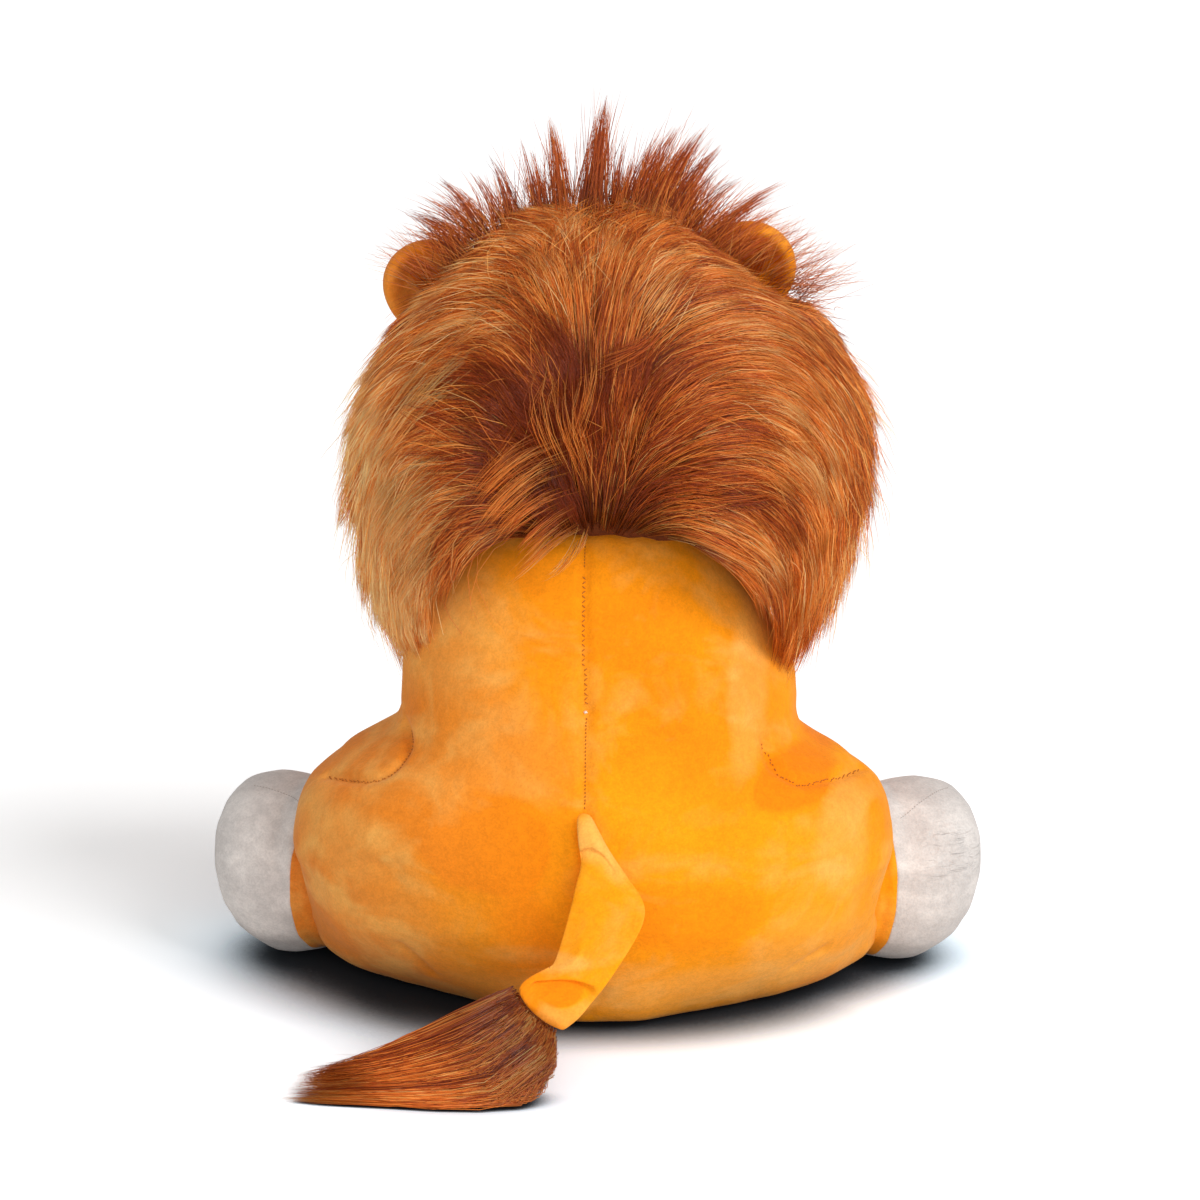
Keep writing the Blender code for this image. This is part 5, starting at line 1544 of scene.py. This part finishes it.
def make_tuft(count=5200):
    upper, lower = (curve_through([np.array(p, float) for p in edge], 1.0) for edge in (TUFT_UPPER, TUFT_LOWER))
    share = np.linspace(0, 1, 60)
    upper, lower = (np.stack([np.interp(share, np.linspace(0, 1, len(line)), line[:, k]) for k in range(3)], 1)
                    for line in (upper, lower))
    t = RANDOM.random(count)
    depth = RANDOM.uniform(-1, 1, count)
    start = RANDOM.uniform(0, 0.12, count)
    reach = start + (1 - start) * RANDOM.uniform(0.45, 1.0, count) ** 0.7
    paths = np.empty((count, HAIR_RINGS + 1, 3))
    loose = RANDOM.random(count) < 0.10
    drift = RANDOM.normal(size=count) * (0.07 + 0.16 * loose)
    wave = RANDOM.normal(size=(count, 2)) * np.array([1.2, 1.6]) * (1 + 2.0 * loose)[:, None]
    for k in range(HAIR_RINGS + 1):
        s = start + (reach - start) * k / HAIR_RINGS
        place = s * 59
        low, high = np.floor(place).astype(int), np.minimum(np.floor(place).astype(int) + 1, 59)
        f = (place - low)[:, None]
        up, down = upper[low] * (1 - f) + upper[high] * f, lower[low] * (1 - f) + lower[high] * f
        mixed = np.clip(t + drift * s, 0, 1)[:, None]
        half = (3.0 + 9.0 * np.sin(np.pi * np.clip(s * 1.15 + 0.1, 0, 1)) ** 0.8) * (1 - 0.6 * s)
        bend = np.sin(3.4 * s + depth * 2.0) * s
        aside = np.stack([wave[:, 0] * bend, depth * half, wave[:, 1] * bend], 1)
        paths[:, k] = up * (1 - mixed) + down * mixed + aside
    paths[..., 2] = np.maximum(paths[..., 2], 0.6 + 0.8 * RANDOM.random((count, 1)))
    paths, lock, rim = in_locks(paths, paths[:, 0], 60, np.full(count, 0.5))
    shade = 0.34 + 0.26 * reach * t + 0.12 * RANDOM.normal(size=lock.max() + 1)[lock]
    shade = shade + 0.20 * RANDOM.normal(size=count)
    # Painted shade between locks: hairs at the edge of a lock are darker.
    shade = shade - 0.2 * rim ** 2
    out = np.tile([0.0, -0.9, 0.4], (count, 1))
    return hair_mesh("tail_tuft_hair", paths, np.full(count, 0.2), shade, out)


finished(make_tuft(), russet_fur, "tuft", "russet_fur", "tail_tuft")

# %% [markdown]
# ## Stitches
# The back seam was closed by hand: a row of small slanted stitches with a knot at its end. The
# machine seams show as fine even stitches. Each stitch is one short thread, copied along.

# %% Stitches along the seams
gold_thread = thread_finish("gold_thread", rgb(160, 84, 10), rgb(200, 120, 28))
white_thread = thread_finish("white_thread", rgb(226, 214, 196), rgb(250, 246, 238))


def stitch_row(name, skin, line, pitch, along, aside, radius=0.26 * MM):
    """Short threads on a seam. along is half a stitch's length, aside half its width."""
    tree = BVHTree.FromObject(skin, bpy.context.evaluated_depsgraph_get())
    line = np.array(line)
    travelled = np.concatenate([[0.0], np.cumsum(np.linalg.norm(np.diff(line, axis=0), axis=1))])
    pieces = []
    for number, distance in enumerate(np.arange(pitch, travelled[-1] - pitch, pitch)):
        place, further = (np.array([np.interp(d, travelled, line[:, k]) for k in range(3)])
                          for d in (distance, distance + 0.5 * MM))
        near, normal, _, _ = tree.find_nearest(Vector(place))
        ahead = (Vector(further) - Vector(place)).normalized()
        side = ahead.cross(normal).normalized() * (1 if number % 2 else -1)
        start, end = near - ahead * along - side * aside, near + ahead * along + side * aside
        middle, sunk = near + normal * radius * 1.7, normal * radius * 0.5
        pieces.append(thread_along("stitch", [start - sunk, middle, end - sunk], radius, 5))
    return merged(name, pieces)


knot_height = pucker[0].z
hand_closed = (back_seam[:, 2] < 206 * MM) & (back_seam[:, 2] > knot_height)
upper_seam, hand_seam = back_seam[back_seam[:, 2] >= 206 * MM], back_seam[hand_closed]
lower_seam = back_seam[(back_seam[:, 2] <= knot_height) & (back_seam[:, 2] > 108 * MM)]
stitches = [stitch_row("hand_stitches", body_skin, hand_seam, 2.1 * MM, 0.6 * MM, 0.7 * MM, 0.26 * MM)]
for number, seam in enumerate((upper_seam, lower_seam, *haunch_seams)):
    stitches.append(stitch_row(f"seam_stitches_{number}", body_skin, seam, 1.6 * MM, 0.5 * MM, 0.1 * MM))
finished(merged("body_stitches", stitches), gold_thread, "torso", "golden_plush")

grey_thread = thread_finish("grey_thread", rgb(150, 140, 132), rgb(186, 176, 168))
PAW_SEAMS = {"left": [(-155.7, 84.6), (-147.5, 83.3), (-138.4, 80.0), (-133, 76)],
             "right": [(140, 72), (147, 78), (154.7, 84), (163, 87.5)]}
for side, marks in PAW_SEAMS.items():
    paw_skin = bpy.data.objects[f"hind_paw_skin_{side}"]
    places = on_skin(paw_skin, marks)
    if len(places) > 1:
        row = stitch_row(f"paw_stitches_{side}", paw_skin, curve_through(places), 1.6 * MM, 0.5 * MM, 0.1 * MM,
                         0.16 * MM)
        finished(row, grey_thread, f"hind_leg_{side}", "grey_plush")


def make_knot(skin, place):
    """The end of the hand-closed seam: a few loops of white thread in its pucker."""
    tree = BVHTree.FromObject(skin, bpy.context.evaluated_depsgraph_get())
    near, normal, _, _ = tree.find_nearest(place)
    loops = []
    for turn in range(4):
        way = Vector((math.cos(turn * 0.9), 0.0, math.sin(turn * 0.9))) * 0.9 * MM
        peak = near + normal * (0.5 + 0.1 * turn) * MM
        loops.append(thread_along("knot", [near - way, peak, near + way], 0.24 * MM, 6))
    return merged("white_knot", loops)


finished(make_knot(body_skin, pucker[0]), white_thread, "torso", "golden_plush")
